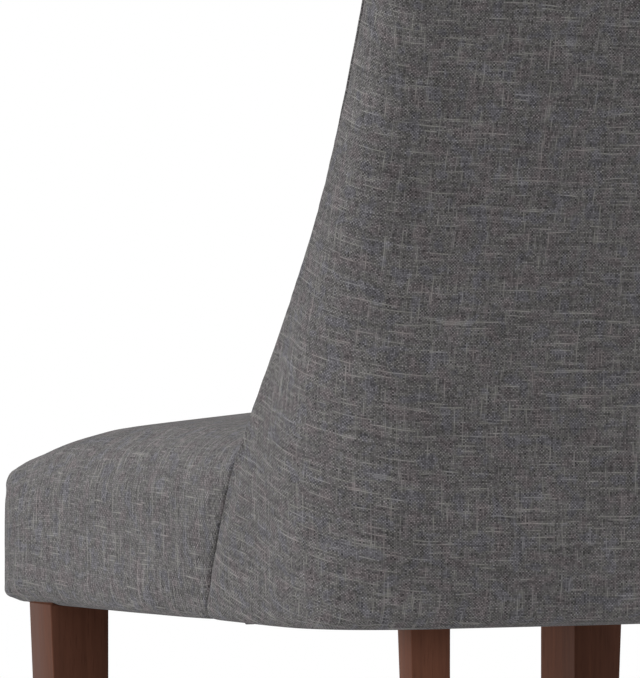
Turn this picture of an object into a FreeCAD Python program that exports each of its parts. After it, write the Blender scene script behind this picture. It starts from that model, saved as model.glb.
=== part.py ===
import FreeCAD, Part
import math
import os

from FreeCAD import Vector

# A parsons chair, in millimetres. +Z is up, the chair faces -Y and the sitter's left is +X.
# The origin is on the floor, under the middle of the chair's box.

# Overall sizes
overall_height = 985.0
overall_depth = 600.0
seat_underside = 350.0

# Seat, as it looks with its cloth on
seat_front_width = 486.0
seat_seam_width = 454.0
seat_seam_setback = 320.0
seat_front_corner = 30.0
seat_edge_height = 117.0
seat_crown_height = 145.0
seat_crown_setback = 320.0
seat_roll = 22.0
seat_deck = 68.0
seat_overrun = 120.0

# Back, as it looks with its cloth on
back_foot_width = 475.0
back_top_width = 412.0
back_lean = 0.20
lean_start = 450.0
lean_blend = 110.0
rear_bow_radius = 1500.0
foot_corner = 78.0
top_corner = 31.0
corner_end = 690.0
back_thickness = 70.0
back_top_roll = 24.0
lumbar_thickness = 88.0
inner_corner = 52.0

# Sides of the back, which sweep forward and down to the seat
wing_reach = 122.0
wing_end = 760.0
wing_thickness = 38.0
wing_edge_round = 17.0
wing_tuck = 5.0

# Layers of the upholstery, from the outside in
cloth = 1.6
layer_gap = 0.3
seat_wad = 10.0
back_pad = 20.0
hem = 26.0
seam_gap = 0.4

# Wooden frame
rail_height = 60.0
rail_thickness = 22.0
post_width = 40.0
post_depth = 28.0
post_setback = 34.0
wing_board_thickness = 9.0
wing_board_setback = 20.0
wing_board_end = 700.0
lower_rail_bottom = 440.0
lower_rail_height = 40.0
middle_rail_bottom = 640.0
middle_rail_height = 45.0
top_rail_drop = 34.0
top_rail_height = 50.0
block_height = 44.0
block_leg = 62.0
rear_block_length = 52.0
rear_block_flat = 12.0
rear_corner_space = 8.0
board_lap = 10.0

# Webbing
web_width = 50.0
web_thickness = 2.0
seat_web_pitch = 70.0
seat_webs_along = 4
seat_webs_across = 4
across_start = 30.0
across_pitch = 85.0
web_ramp = 12.0
web_margin = 4.0
back_web_start = 500.0
back_web_pitch = 82.0
back_web_count = 5

# Front legs
front_leg_spacing = 420.0
front_leg_setback = 59.0
front_leg = 42.0
front_leg_foot = 27.5

# Rear legs
rear_leg_spacing = 267.0
rear_leg_width = 26.0
rear_leg_depth = 28.0
rear_leg_turn = 10.0
rear_leg_sweep = 48.0
rear_leg_foot = 22.0

# Feet, bolts, dowels and screws
glide_radius = 9.0
glide_height = 4.0
glide_pin_radius = 1.5
glide_pin_length = 14.0
bolt_radius = 3.0
bolt_head_radius = 7.0
bolt_head_height = 3.5
bolt_inset = 8.0
bolt_low = 16.0
bolt_high = 42.0
bolt_proud = 2.0
nut_radius = 5.5
nut_height = 5.0
dowel_radius = 5.0
dowel_length = 44.0
screw_radius = 2.0
screw_head_radius = 4.0
screw_head_height = 1.5
board_screw_low = 555.0
board_screw_pitch = 60.0
board_screw_count = 3
board_screw_length = 30.0
board_screw_sink = 3.5
block_screw_length = 26.0
block_screw_aside = 10.0
block_screw_behind = 8.0
fit = 0.05

# Sheet under the seat
dust_sheet = 0.7
dust_inset = 12.0
staple_length = 10.0
staple_width = 1.2
staple_thickness = 0.5
staple_edge = 6.0
staple_pitch = 48.0

# Split between the foam of the back and that of its sides, in from the post's outer face
wing_foam_width = 30.0

# Outlines in each curved form, and lengths by which a cutting form runs past what it cuts
LEVELS = 11
open_front = 30.0
past = 10.0

seat_front = -overall_depth / 2
seam_y = seat_front + seat_seam_setback
frame_bottom = seat_underside + cloth + layer_gap
frame_top = frame_bottom + rail_height
deck = seat_underside + seat_deck
soft = cloth + layer_gap
rail_inset = soft + seat_wad + layer_gap
back_inset = soft + back_pad + layer_gap
front_leg_y = seat_front + front_leg_setback
front_leg_x = front_leg_spacing / 2
rear_leg_x = rear_leg_spacing / 2


def rear_y(z):
    """Rearmost line of the back, at its middle, at height z."""
    shoulder = overall_height - back_top_roll
    foot = overall_depth / 2 - back_lean * (shoulder - lean_start - lean_blend / 2)
    run = z - lean_start
    if run <= 0:
        return foot
    if run < lean_blend:
        return foot + back_lean * run * run / (2 * lean_blend)
    return foot + back_lean * (run - lean_blend / 2)


def ease(z, low, high):
    """Falls smoothly from 1 at the low height to 0 at the high one."""
    share = min(max((z - low) / (high - low), 0.0), 1.0)
    return (1 + math.cos(math.pi * share)) / 2


def half_width(z):
    share = min(max((z - lean_start) / (overall_height - lean_start), 0.0), 1.0)
    return (back_foot_width + (back_top_width - back_foot_width) * share) / 2


def side_depth(z):
    """Depth of the back at its sides, from the rear line to the front edge."""
    return back_thickness + wing_reach * ease(z, seat_underside, wing_end) ** 1.15


def rear_corner(z):
    return top_corner + (foot_corner - top_corner) * ease(z, lean_start, corner_end)


def side_x(y):
    """Half width of the seat at y, along its straight side."""
    share = (y - seat_front) / seat_seam_setback
    return (seat_front_width + (seat_seam_width - seat_front_width) * share) / 2


def levels(low, high, count=LEVELS):
    return [low + (high - low) * k / (count - 1) for k in range(count)]


def arc(centre, radius, start, end):
    """Level arc from one angle to another, in degrees."""
    def at(angle):
        a = math.radians(angle)
        return centre + Vector(radius * math.cos(a), radius * math.sin(a), 0)
    return Part.Arc(at(start), at((start + end) / 2), at(end)).toShape()


def ring(arcs):
    """Closed wire through arcs, joined by straight lines."""
    edges = []
    for index, edge in enumerate(arcs):
        tail = edge.Vertexes[-1].Point
        head = arcs[(index + 1) % len(arcs)].Vertexes[0].Point
        edges.append(edge)
        if tail.distanceToPoint(head) > 1e-6:
            edges.append(Part.LineSegment(tail, head).toShape())
    return Part.Wire(edges)


def polygon(points, z):
    corners = [Vector(x, y, z) for x, y in points]
    return Part.makePolygon(corners + corners[:1])


def slab(points, z_low, z_high):
    """Prism on a level outline of straight lines."""
    return Part.Face(polygon(points, z_low)).extrude(Vector(0, 0, z_high - z_low))


def box(x_low, x_high, y_low, y_high, z_low, z_high):
    size = (x_high - x_low, y_high - y_low, z_high - z_low)
    return Part.makeBox(*size, Vector(x_low, y_low, z_low))


def block_of_space(z_low, x_low=-overall_depth, x_high=overall_depth):
    """All the room above a height and between two widths."""
    return box(x_low, x_high, -overall_depth, overall_depth, z_low, 2 * overall_height)


def rod(radius, start, end):
    axis = end - start
    return Part.makeCylinder(radius, axis.Length, start, axis)


def mirrored(shape):
    """The same piece on the other side of the chair."""
    return shape.mirror(Vector(0, 0, 0), Vector(1, 0, 0))


def both(shape):
    return [shape, mirrored(shape)]


def group(shapes):
    return Part.makeCompound(shapes)


def largest(shape):
    """The one solid of a layer, without the thread left where two curved skins meet."""
    return max(shape.Solids, key=lambda solid: solid.Volume)


# The back's outer and inner forms

def back_ring(z, inset, forward):
    """Outline of the back at height z, drawn in by inset, with its front moved forward."""
    w = half_width(z) - inset
    bow = rear_bow_radius - inset
    rear = rear_y(z) - inset
    r = max(rear_corner(z) - inset, 2.0)
    centre_y = rear - bow + math.sqrt((bow - r) ** 2 - (w - r) ** 2)
    swing = math.degrees(math.asin((w - r) / (bow - r)))
    front_r = max(wing_edge_round - inset, 2.0)
    front_y = rear_y(z) - side_depth(z) + inset - forward
    tuck = wing_tuck * ease(z, seat_underside, wing_end) / (side_depth(z) - rear_corner(z))
    front_w = w - tuck * (centre_y - front_y - front_r)
    return ring([
        arc(Vector(front_w - front_r, front_y + front_r, z), front_r, -90, 0),
        arc(Vector(w - r, centre_y, z), r, 0, 90 - swing),
        arc(Vector(0, rear - bow, z), bow, 90 - swing, 90 + swing),
        arc(Vector(-w + r, centre_y, z), r, 90 + swing, 180),
        arc(Vector(-front_w + front_r, front_y + front_r, z), front_r, 180, 270),
    ])


def back_form(inset, forward=0.0, lift=0.0):
    """Outer form of the back as one closed solid, with a rounded top."""
    roll = back_top_roll - inset
    shoulder = overall_height - back_top_roll
    heights = levels(seat_underside + lift, shoulder)
    trunk = Part.makeLoft([back_ring(z, inset, forward) for z in heights], True, False)
    crown = []
    for angle in (0, 25, 50, 70, 85):
        a = math.radians(angle)
        rise = roll * math.sin(a)
        crown.append(back_ring(shoulder + rise, inset + roll * (1 - math.cos(a)), forward))
    return trunk.fuse(Part.makeLoft(crown, True, False))


def sitting_form(grow):
    """Space for the sitter between the sides of the back, above the deck."""
    rings = []
    for z in levels(deck - grow, overall_height + past):
        w = half_width(z) - wing_thickness + grow
        r = inner_corner + grow
        y = rear_y(z) - lumbar_thickness + grow
        left = arc(Vector(w - r, y - r, z), r, 0, 90)
        right = arc(Vector(-w + r, y - r, z), r, 90, 180)
        ahead = polygon([(-w, -overall_depth), (w, -overall_depth)], z).Edges[0]
        rings.append(ring([left, right, ahead]))
    return Part.makeLoft(rings, True, False)


def behind(depth):
    """Everything that lies less than depth in front of the back's rear line."""
    rings = []
    wide = back_foot_width
    for z in levels(seat_underside - past, overall_height + past):
        near, far = rear_y(z) - depth, rear_y(z) + past
        rings.append(polygon([(-wide, near), (wide, near), (wide, far), (-wide, far)], z))
    return Part.makeLoft(rings, True, False)


def leaning(inner, outer, near, far, z_low, z_high, count=6):
    """Bar that leans with the back: inner and outer x, near and far depth, as functions of height."""
    rings = []
    for z in levels(z_low, z_high, count):
        back, front = rear_y(z) - near(z), rear_y(z) - far(z)
        rings.append(polygon([(inner(z), front), (outer(z), front), (outer(z), back), (inner(z), back)], z))
    return Part.makeLoft(rings, True, False)


# The seat's form

def seat_outline(inset, z, end_y):
    slope = math.atan((seat_front_width - seat_seam_width) / 2 / seat_seam_setback)
    r = seat_front_corner - inset
    centre_y = seat_front + seat_front_corner
    centre_x = side_x(centre_y) - inset - r / math.cos(slope)
    turn = math.degrees(slope)
    rear_x = side_x(end_y) - inset
    left = arc(Vector(centre_x, centre_y, z), r, -90, turn)
    right = arc(Vector(-centre_x, centre_y, z), r, 180 - turn, 270)
    rear = polygon([(rear_x, end_y), (-rear_x, end_y)], z).Edges[0]
    return ring([left, rear, right])


def seat_top(x, y):
    """Height of the domed seat above its underside."""
    across = 2 * x / seat_front_width
    along = (y - seat_front - seat_crown_setback) / seat_crown_setback
    return seat_edge_height + (seat_crown_height - seat_edge_height) * (1 - across ** 2) * (1 - along ** 2)


def seat_form(inset, lift=0.0):
    """Domed seat as one closed solid, before the back is taken out of it."""
    end_y = seam_y + seat_overrun
    wide, steps = seat_front_width / 2 + 2 * past, 9
    grid = []
    for i in range(steps):
        x = -wide + 2 * wide * i / (steps - 1)
        row = []
        for j in range(steps):
            y = seat_front - 2 * past + (end_y + 4 * past - seat_front) * j / (steps - 1)
            row.append(Vector(x, y, seat_underside + seat_top(x, y) - inset))
        grid.append(row)
    surface = Part.BSplineSurface()
    surface.interpolate(grid)
    dome = surface.toShape().extrude(Vector(0, 0, -2 * seat_crown_height))
    low = seat_underside + lift
    column = Part.Face(seat_outline(inset, low, end_y)).extrude(Vector(0, 0, 2 * seat_crown_height))
    block = column.common(dome)
    crest = seat_underside + seat_edge_height - inset - seat_roll / 2
    rim = [e for e in block.Edges if e.BoundBox.ZMin > crest and e.BoundBox.YMin < end_y - 1]
    return block.makeFillet(seat_roll - inset, rim)


def frame_space():
    """Room for the wooden frame under the deck, inside the wadding."""
    low = frame_bottom - layer_gap / 2
    outline = seat_outline(rail_inset - layer_gap / 2, low, seam_y + seat_overrun)
    return Part.Face(outline).extrude(Vector(0, 0, deck - low))


def seat_layer(inset, lift=0.0):
    """The seat drawn in by inset, clear of the back by the seam and the same inset."""
    grow = -seam_gap - inset
    return seat_form(inset, lift).cut(back_form(grow, 0, -past).cut(sitting_form(grow)))


# Legs

def front_left_leg():
    inner, outer = front_leg_x - front_leg / 2, front_leg_x + front_leg / 2
    near = front_leg_y - front_leg / 2
    profile = [
        (inner, glide_height), (inner + front_leg_foot, glide_height),
        (outer, seat_underside), (outer, frame_top), (inner, frame_top),
    ]
    corners = [Vector(x, near, z) for x, z in profile]
    leg = Part.Face(Part.makePolygon(corners + corners[:1])).extrude(Vector(0, front_leg, 0))
    return leg.cut(glide(*front_foot(), fit)).cut(group(front_bolt_bores())).cut(group(rail_dowels(fit)))


def front_foot():
    return front_leg_x - front_leg / 2 + front_leg_foot / 2, front_leg_y


def rear_leg_place():
    """Centre of the rear leg's top, its rear corner against the rear rail."""
    turn = math.radians(rear_leg_turn)
    reach = (rear_leg_depth * math.cos(turn) + rear_leg_width * math.sin(turn)) / 2
    return rear_leg_x, rear_rail_front() - reach - fit


def rear_leg_corners(down):
    """Four corners of the leg, where down is 0 under the seat and 1 at the floor."""
    x, y = rear_leg_place()
    turn = math.radians(rear_leg_turn)
    depth = rear_leg_foot + (rear_leg_depth - rear_leg_foot) * math.exp(-down / 0.2)
    width = rear_leg_width + (rear_leg_foot - rear_leg_width) * down
    back = rear_leg_depth / 2 + rear_leg_sweep * down ** 1.9
    places = []
    for along, away in ((-1, back), (1, back), (1, back - depth), (-1, back - depth)):
        a = along * width / 2
        places.append((x + a * math.cos(turn) + away * math.sin(turn),
                       y - a * math.sin(turn) + away * math.cos(turn)))
    return places


def rear_left_leg():
    top = slab(rear_leg_corners(0.0), seat_underside, frame_top)
    rings = []
    for z in levels(glide_height, seat_underside, 9):
        rings.append(polygon(rear_leg_corners((seat_underside - z) / (seat_underside - glide_height)), z))
    leg = Part.makeLoft(rings, True, False).fuse(top).removeSplitter()
    return leg.cut(glide(*rear_foot(), fit)).cut(group(rear_bolt_bores()))


def rear_foot():
    corners = rear_leg_corners(1.0)
    return sum(x for x, y in corners) / 4, sum(y for x, y in corners) / 4


def glide(x, y, grow=0.0):
    """Nylon glide on its pin; grow gives the hole that it is driven into."""
    disc = Part.makeCylinder(glide_radius, glide_height, Vector(x, y, 0))
    pin = Part.makeCylinder(glide_pin_radius + grow, glide_pin_length + grow, Vector(x, y, glide_height))
    return pin if grow else disc.fuse(pin)


# Seat frame

def front_rail():
    near, far = seat_front + rail_inset, front_leg_y - front_leg / 2
    board = box(-front_leg_x - front_leg / 2, front_leg_x + front_leg / 2, near, far, frame_bottom, frame_top)
    rounded = Part.Face(seat_outline(rail_inset, frame_bottom, seam_y)).extrude(Vector(0, 0, rail_height))
    rail = board.common(rounded)
    return rail.cut(group([b for a in front_bolt_bores() for b in both(a)]))


def side_board(grow):
    start, end = front_leg_y + front_leg / 2, side_rail_end() + grow
    outer_start, outer_end = side_x(start) - rail_inset + grow, side_x(end) - rail_inset + grow
    width = rail_thickness + 2 * grow
    outline = [(outer_start, start), (outer_end, end)]
    outline += [(x - width, y) for x, y in reversed(outline)]
    return slab(outline, frame_bottom - grow, frame_top + grow)


def left_side_rail():
    return side_board(0.0).cut(group(rail_dowels(fit)))


def rear_rail_front():
    return rear_rail_back() - rail_thickness


def rear_rail_back():
    """The rear rail's rear face clears the padding all along its bowed inner side."""
    bow = rear_bow_radius - back_inset
    half = rear_rail_half()
    return rear_y(seat_underside) - back_inset - layer_gap - (bow - math.sqrt(bow ** 2 - half ** 2))


def rear_rail_half():
    return back_foot_width / 2 - foot_corner - rear_corner_space


def side_rail_end():
    return rear_rail_front() - rear_block_length


def rear_rail():
    half = rear_rail_half()
    rail = box(-half, half, rear_rail_front(), rear_rail_back(), frame_bottom, frame_top)
    return rail.cut(group([b for a in rear_bolt_bores() for b in both(a)]))


def front_left_corner_block():
    inner, near = front_leg_x - front_leg / 2, front_leg_y - front_leg / 2
    outline = [(inner, near), (inner, near + front_leg), (inner - block_leg, near)]
    return slab(outline, frame_bottom, frame_bottom + block_height).cut(group(block_screws(fit)))


def rear_left_corner_block():
    """Solid corner between the side rail and the rear rail, shaped round the rear leg."""
    end = side_rail_end()
    outer = side_x(end) - rail_inset
    half = rear_rail_half()
    rear_corner_point, front_corner_point = rear_leg_corners(0.0)[1], rear_leg_corners(0.0)[2]
    outline = [
        (outer, end), (outer, end + rear_block_flat), (half, rear_rail_back()), (half, rear_rail_front()),
        (rear_corner_point[0] + fit, rear_rail_front()),
        (rear_corner_point[0] + fit, rear_corner_point[1]),
        (front_corner_point[0] + fit, front_corner_point[1]),
        (outer - rail_thickness, end),
    ]
    return slab(outline, frame_bottom, frame_top).cut(group(post_dowels(fit)))


# Back frame

def post_outer(z):
    return half_width(z) - back_inset - wing_board_thickness - layer_gap


def left_back_post():
    post = leaning(lambda z: post_outer(z) - post_width, post_outer, lambda z: post_setback,
                   lambda z: post_setback + post_depth, frame_top, overall_height - top_rail_drop, LEVELS)
    shaped = post.common(back_form(back_inset, open_front, -past))
    return shaped.cut(group(post_dowels(fit))).cut(group(board_screws(fit)))


def back_rail(bottom, height):
    """Rail between the posts."""
    def end(z):
        return post_outer(z) - post_width - layer_gap
    return leaning(lambda z: -end(z), end, lambda z: post_setback, lambda z: post_setback + post_depth,
                   bottom, bottom + height, 3)


def left_wing_board(grow=0.0):
    """Plywood side that carries the sweep from the back down to the seat."""
    def outer(z):
        return half_width(z) - back_inset + grow
    def inner(z):
        return half_width(z) - back_inset - wing_board_thickness - grow
    board = leaning(inner, outer, lambda z: post_setback + board_lap - grow,
                    lambda z: max(side_depth(z) - wing_board_setback, post_setback + post_depth) + grow,
                    frame_top - grow, wing_board_end + grow, LEVELS)
    if grow:
        return board
    return board.common(back_form(back_inset, open_front, -past)).cut(group(board_screws(fit)))


def back_webs():
    """Webbing stretched across the front of the posts."""
    webs = []
    depth = post_setback + post_depth + layer_gap
    def end(z):
        return post_outer(z) - web_margin
    for k in range(back_web_count):
        low = back_web_start + k * back_web_pitch
        webs.append(leaning(lambda z: -end(z), end, lambda z: depth, lambda z: depth + web_thickness,
                            low, low + web_width, 3))
    return group(webs)


# Webbing under the seat

def seat_webs_long():
    webs = []
    for k in range(seat_webs_along):
        x = (k - (seat_webs_along - 1) / 2) * seat_web_pitch
        webs.append(box(x - web_width / 2, x + web_width / 2, seat_front + rail_inset + web_margin,
                        rear_rail_back() - web_margin, frame_top, frame_top + web_thickness))
    return group(webs)


def seat_webs_cross():
    """Straps from side rail to side rail, lifted over the long ones."""
    webs = []
    over = (seat_webs_along - 1) / 2 * seat_web_pitch + web_width / 2 + web_margin
    low, lift = frame_top, web_thickness + layer_gap
    for k in range(seat_webs_across):
        y = front_leg_y + front_leg / 2 + across_start + k * across_pitch
        end = side_x(y + web_width) - rail_inset - web_margin
        under = [(-end, low), (-over - web_ramp, low), (-over, low + lift), (over, low + lift),
                 (over + web_ramp, low), (end, low)]
        above = [(x, z + web_thickness) for x, z in reversed(under)]
        corners = [Vector(x, y - web_width / 2, z) for x, z in under + above]
        face = Part.Face(Part.makePolygon(corners + corners[:1]))
        webs.append(face.extrude(Vector(0, web_width, 0)))
    return group(webs)


# Bolts, dowels and screws

def front_bolt_lines():
    x = front_leg_x - front_leg / 2 + bolt_inset
    near, far = seat_front + rail_inset, front_leg_y + front_leg / 2
    return [(Vector(x, near, frame_bottom + up), Vector(x, far, frame_bottom + up))
            for up in (bolt_low, bolt_high)]


def bolt(start, end, beyond):
    """Round-headed bolt let in flush at start, its thread standing beyond the end."""
    axis = (end - start).normalize()
    shank = rod(bolt_radius, start, end + axis * beyond)
    return shank.fuse(rod(bolt_head_radius, start, start + axis * bolt_head_height))


def bolt_bore(start, end):
    axis = (end - start).normalize()
    hole = rod(bolt_radius + fit, start - axis, end + axis)
    return hole.fuse(rod(bolt_head_radius + fit, start - axis, start + axis * (bolt_head_height + fit)))


def nut(seat, axis):
    """Hexagon nut that sits on its seat and is open along the axis."""
    turn = Part.makeCylinder(nut_radius, nut_height, seat, axis)
    return turn.cut(rod(bolt_radius + fit, seat - axis, seat + axis * (nut_height + 1)))


def front_bolt_bores():
    return [bolt_bore(*line) for line in front_bolt_lines()]


def front_leg_bolts():
    return group([b for line in front_bolt_lines() for b in both(bolt(*line, nut_height + bolt_proud))])


def front_leg_nuts():
    return group([b for line in front_bolt_lines() for b in both(nut(line[1], Vector(0, 1, 0)))])


def rear_bolt_lines():
    """From the rear rail's rear face forward through the rear leg."""
    x, y = rear_leg_place()
    far = min(corner[1] for corner in rear_leg_corners(0.0))
    return [(Vector(x, rear_rail_back(), frame_bottom + up), Vector(x, far, frame_bottom + up))
            for up in (bolt_low, bolt_high)]


def rear_bolt_bores():
    return [bolt_bore(*line) for line in rear_bolt_lines()]


def rear_leg_bolts():
    return group([b for line in rear_bolt_lines() for b in both(bolt(*line, nut_height + bolt_proud))])


def rear_leg_nuts():
    return group([b for line in rear_bolt_lines() for b in both(nut(line[1], Vector(0, -1, 0)))])


def rail_dowels(grow=0.0):
    """Dowels that join the side rail to the back of the front leg."""
    joint = front_leg_y + front_leg / 2
    x = side_x(joint) - rail_inset - rail_thickness / 2
    half = Vector(0, dowel_length / 2 + grow, 0)
    middles = [Vector(x, joint, frame_bottom + up) for up in (bolt_low, bolt_high)]
    return [rod(dowel_radius + grow, middle - half, middle + half) for middle in middles]


def side_rail_dowels():
    return group([b for a in rail_dowels() for b in both(a)])


def post_dowels(grow=0.0):
    """Upright dowel from the rear corner block into the post."""
    x = post_outer(frame_top) - post_width / 2
    y = rear_y(frame_top) - post_setback - post_depth / 2
    half = dowel_length / 2 + grow
    return [rod(dowel_radius + grow, Vector(x, y, frame_top - half), Vector(x, y, frame_top + half))]


def frame_post_dowels():
    return group([b for a in post_dowels() for b in both(a)])


def screw(start, axis, length, grow=0.0):
    """Flat-headed wood screw, its head flush at start."""
    shank = rod(screw_radius + grow, start, start + axis * (length + grow))
    head = rod(screw_head_radius + grow, start, start + axis * (screw_head_height + grow))
    return shank.fuse(head)


def board_screws(grow=0.0):
    """Screws from the wing board into the post; grow gives their countersunk holes."""
    screws = []
    inward = Vector(-1, 0, 0)
    for k in range(board_screw_count):
        z = board_screw_low + k * board_screw_pitch
        y = rear_y(z) - post_setback - post_depth + screw_head_radius + 1
        start = Vector(half_width(z) - back_inset - board_screw_sink, y, z)
        screws.append(screw(start, inward, board_screw_length, grow))
        if grow:
            screws.append(rod(screw_head_radius + grow, start - inward * board_screw_sink, start))
    return screws


def wing_board_screws():
    return group([b for a in board_screws() for b in both(a)])


def block_screws(grow=0.0):
    """Screws from the front corner block into the rail and the leg."""
    inner, near = front_leg_x - front_leg / 2, front_leg_y - front_leg / 2
    middle = Vector(inner - block_leg / 2, near + front_leg / 2, frame_bottom + block_height / 2)
    start = middle + Vector(block_screw_aside, block_screw_behind, 0)
    return [screw(start, Vector(0, -1, 0), block_screw_length, grow)]


# Sheet under the seat

def dust_cover():
    low = seat_underside - layer_gap - dust_sheet
    thick = Vector(0, 0, dust_sheet)
    seat_part = Part.Face(seat_outline(dust_inset, low, seam_y + dust_inset + past)).extrude(thick)
    back_part = Part.Face(back_ring(low, dust_inset, 0.0)).extrude(thick)
    sheet = seat_part.fuse(back_part).removeSplitter()
    return largest(sheet.cut(leg_clearance(layer_gap)))


def leg_clearance(grow):
    """The four legs' tops, each a little larger, where cloth is cut round them."""
    low, high = seat_underside - past, frame_top + past
    x, y, half = front_leg_x, front_leg_y, front_leg / 2 + grow
    front = box(x - half, x + half, y - half, y + half, low, high)
    cx, cy = rear_leg_place()
    rear = []
    for px, py in rear_leg_corners(0.0):
        rear.append((px + math.copysign(grow, px - cx), py + math.copysign(grow, py - cy)))
    return group(both(front) + both(slab(rear, low, high)))


def dust_cover_staples():
    """Row of staples round the edge of the sheet."""
    staples = []
    top = seat_underside - layer_gap - dust_sheet
    inset = dust_inset + staple_edge
    front = seat_front + inset
    count = int(seat_front_width / staple_pitch) - 2
    for k in range(count + 1):
        x = (k - count / 2) * staple_pitch
        staples.append((x, front, True))
    y = front_leg_y + front_leg
    while y < side_rail_end():
        staples += [(side_x(y) - inset, y, False), (-side_x(y) + inset, y, False)]
        y += staple_pitch
    count = int(2 * rear_rail_half() / staple_pitch)
    for k in range(count + 1):
        staples.append(((k - count / 2) * staple_pitch, rear_rail_back() - staple_edge, True))
    shapes = []
    for x, y, level in staples:
        a, b = (staple_length, staple_width) if level else (staple_width, staple_length)
        shapes.append(box(x - a / 2, x + a / 2, y - b / 2, y + b / 2, top - staple_thickness, top))
    return group(shapes)


# Soft layers

def seat_cover():
    """Cloth over the seat, turned under its edge."""
    shell = seat_layer(0.0).cut(seat_layer(cloth, cloth))
    opening = Part.Face(seat_outline(hem, seat_underside - past, seam_y + seat_overrun / 2))
    opening = opening.extrude(Vector(0, 0, past + 2 * cloth))
    return largest(shell.cut(opening).cut(frame_space()).cut(leg_clearance(layer_gap)))


def seat_wadding():
    shell = seat_layer(soft, cloth + layer_gap).cut(seat_layer(soft + seat_wad, -past))
    return largest(shell.cut(frame_space()).cut(leg_clearance(layer_gap)))


def seat_foam():
    inset = rail_inset
    return largest(seat_layer(inset, seat_deck))


def outside_back_cover():
    """Cloth round the outside of the back and its sides, turned under at the foot."""
    shell = back_form(0.0).cut(back_form(cloth, open_front, cloth))
    opening = Part.Face(back_ring(seat_underside, hem, open_front)).extrude(Vector(0, 0, past + 2 * cloth))
    opening.translate(Vector(0, 0, -past))
    return largest(shell.cut(opening))


def back_core():
    """Everything inside the back's two covers."""
    return back_form(soft, 0, soft).cut(sitting_form(soft))


def back_pads():
    return back_form(soft, 0, soft).cut(back_form(soft + back_pad, open_front, -past))


def outside_back_pad():
    half = rear_rail_half()
    return largest(back_pads().common(block_of_space(0, -half, half)))


def left_side_pad():
    side = block_of_space(0, rear_rail_half() + layer_gap)
    return largest(back_pads().common(side).cut(side_board(layer_gap)))


def inner_padding():
    """Foam in front of the posts and round the wing boards."""
    body = back_core().common(back_form(back_inset, open_front, -past))
    body = body.cut(behind(post_setback + post_depth + web_thickness + 2 * layer_gap))
    board = left_wing_board(layer_gap)
    return body.common(block_of_space(deck + layer_gap)).cut(board).cut(mirrored(board))


def inside_back_foam():
    half = post_outer(overall_height) - wing_foam_width
    return largest(inner_padding().common(block_of_space(0, -half, half)))


def left_wing_foam():
    half = post_outer(overall_height) - wing_foam_width + layer_gap
    return largest(inner_padding().common(block_of_space(0, half)))


def inside_back_cover():
    """Cloth over the inside of the back, round the front edges of its sides and over its top edge."""
    whole = back_form(soft, soft).cut(sitting_form(0.0))
    core = back_form(soft - layer_gap / 2, layer_gap / 2, -past).cut(sitting_form(cloth))
    return largest(whole.cut(core).common(block_of_space(deck + layer_gap)))


def build():
    """Every node by name."""
    parts = {}
    parts["front_rail"] = front_rail()
    parts["rear_rail"] = rear_rail()
    parts["left_side_rail"] = left_side_rail()
    parts["front_left_corner_block"] = front_left_corner_block()
    parts["rear_left_corner_block"] = rear_left_corner_block()
    parts["left_back_post"] = left_back_post()
    parts["left_wing_board"] = left_wing_board()
    parts["front_left_leg"] = front_left_leg()
    parts["rear_left_leg"] = rear_left_leg()
    parts["left_side_pad"] = left_side_pad()
    parts["left_wing_foam"] = left_wing_foam()
    for name in list(parts):
        if "left" in name:
            parts[name.replace("left", "right")] = mirrored(parts[name])
    parts["back_lower_rail"] = back_rail(lower_rail_bottom, lower_rail_height)
    parts["back_middle_rail"] = back_rail(middle_rail_bottom, middle_rail_height)
    parts["back_top_rail"] = back_rail(overall_height - top_rail_drop - top_rail_height, top_rail_height)
    parts["back_webs"] = back_webs()
    parts["seat_webs_long"] = seat_webs_long()
    parts["seat_webs_cross"] = seat_webs_cross()
    parts["seat_foam"] = seat_foam()
    parts["seat_wadding"] = seat_wadding()
    parts["seat_cover"] = seat_cover()
    parts["outside_back_pad"] = outside_back_pad()
    parts["outside_back_cover"] = outside_back_cover()
    parts["inside_back_foam"] = inside_back_foam()
    parts["inside_back_cover"] = inside_back_cover()
    parts["dust_cover"] = dust_cover()
    parts["dust_cover_staples"] = dust_cover_staples()
    parts["front_leg_bolts"] = front_leg_bolts()
    parts["front_leg_nuts"] = front_leg_nuts()
    parts["rear_leg_bolts"] = rear_leg_bolts()
    parts["rear_leg_nuts"] = rear_leg_nuts()
    parts["side_rail_dowels"] = side_rail_dowels()
    parts["post_dowels"] = frame_post_dowels()
    parts["wing_board_screws"] = wing_board_screws()
    parts["corner_block_screws"] = group([b for a in block_screws() for b in both(a)])
    feet = [glide(*front_foot()), glide(*rear_foot())]
    parts["floor_glides"] = group([b for a in feet for b in both(a)])
    return parts


def main():
    os.makedirs("parts", exist_ok=True)
    for name, shape in build().items():
        shape.exportStep(f"parts/{name}.step")


if __name__ == "__main__":
    main()
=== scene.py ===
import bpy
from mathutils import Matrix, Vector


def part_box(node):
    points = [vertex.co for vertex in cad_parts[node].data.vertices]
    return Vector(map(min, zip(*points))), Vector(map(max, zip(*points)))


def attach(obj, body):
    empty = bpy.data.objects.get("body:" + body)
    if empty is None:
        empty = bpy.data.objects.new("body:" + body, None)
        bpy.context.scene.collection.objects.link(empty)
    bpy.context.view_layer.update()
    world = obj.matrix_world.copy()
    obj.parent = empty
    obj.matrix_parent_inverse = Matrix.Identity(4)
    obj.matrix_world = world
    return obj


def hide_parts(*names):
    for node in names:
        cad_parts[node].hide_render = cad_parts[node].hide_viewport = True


bl_info = {
    "name": "Parsons Chair",
    "version": (1, 0, 0),
    "blender": (4, 5, 0),
    "location": "View3D > Sidebar > Chair",
    "description": "Dresses the chair's frame with linen-look cloth, padding and stained legs",
    "category": "Object",
}

import math
from contextlib import contextmanager

import bpy
from bpy.props import FloatProperty, FloatVectorProperty, IntProperty, PointerProperty
from mathutils import Matrix, Vector, noise
from mathutils.kdtree import KDTree

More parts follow.
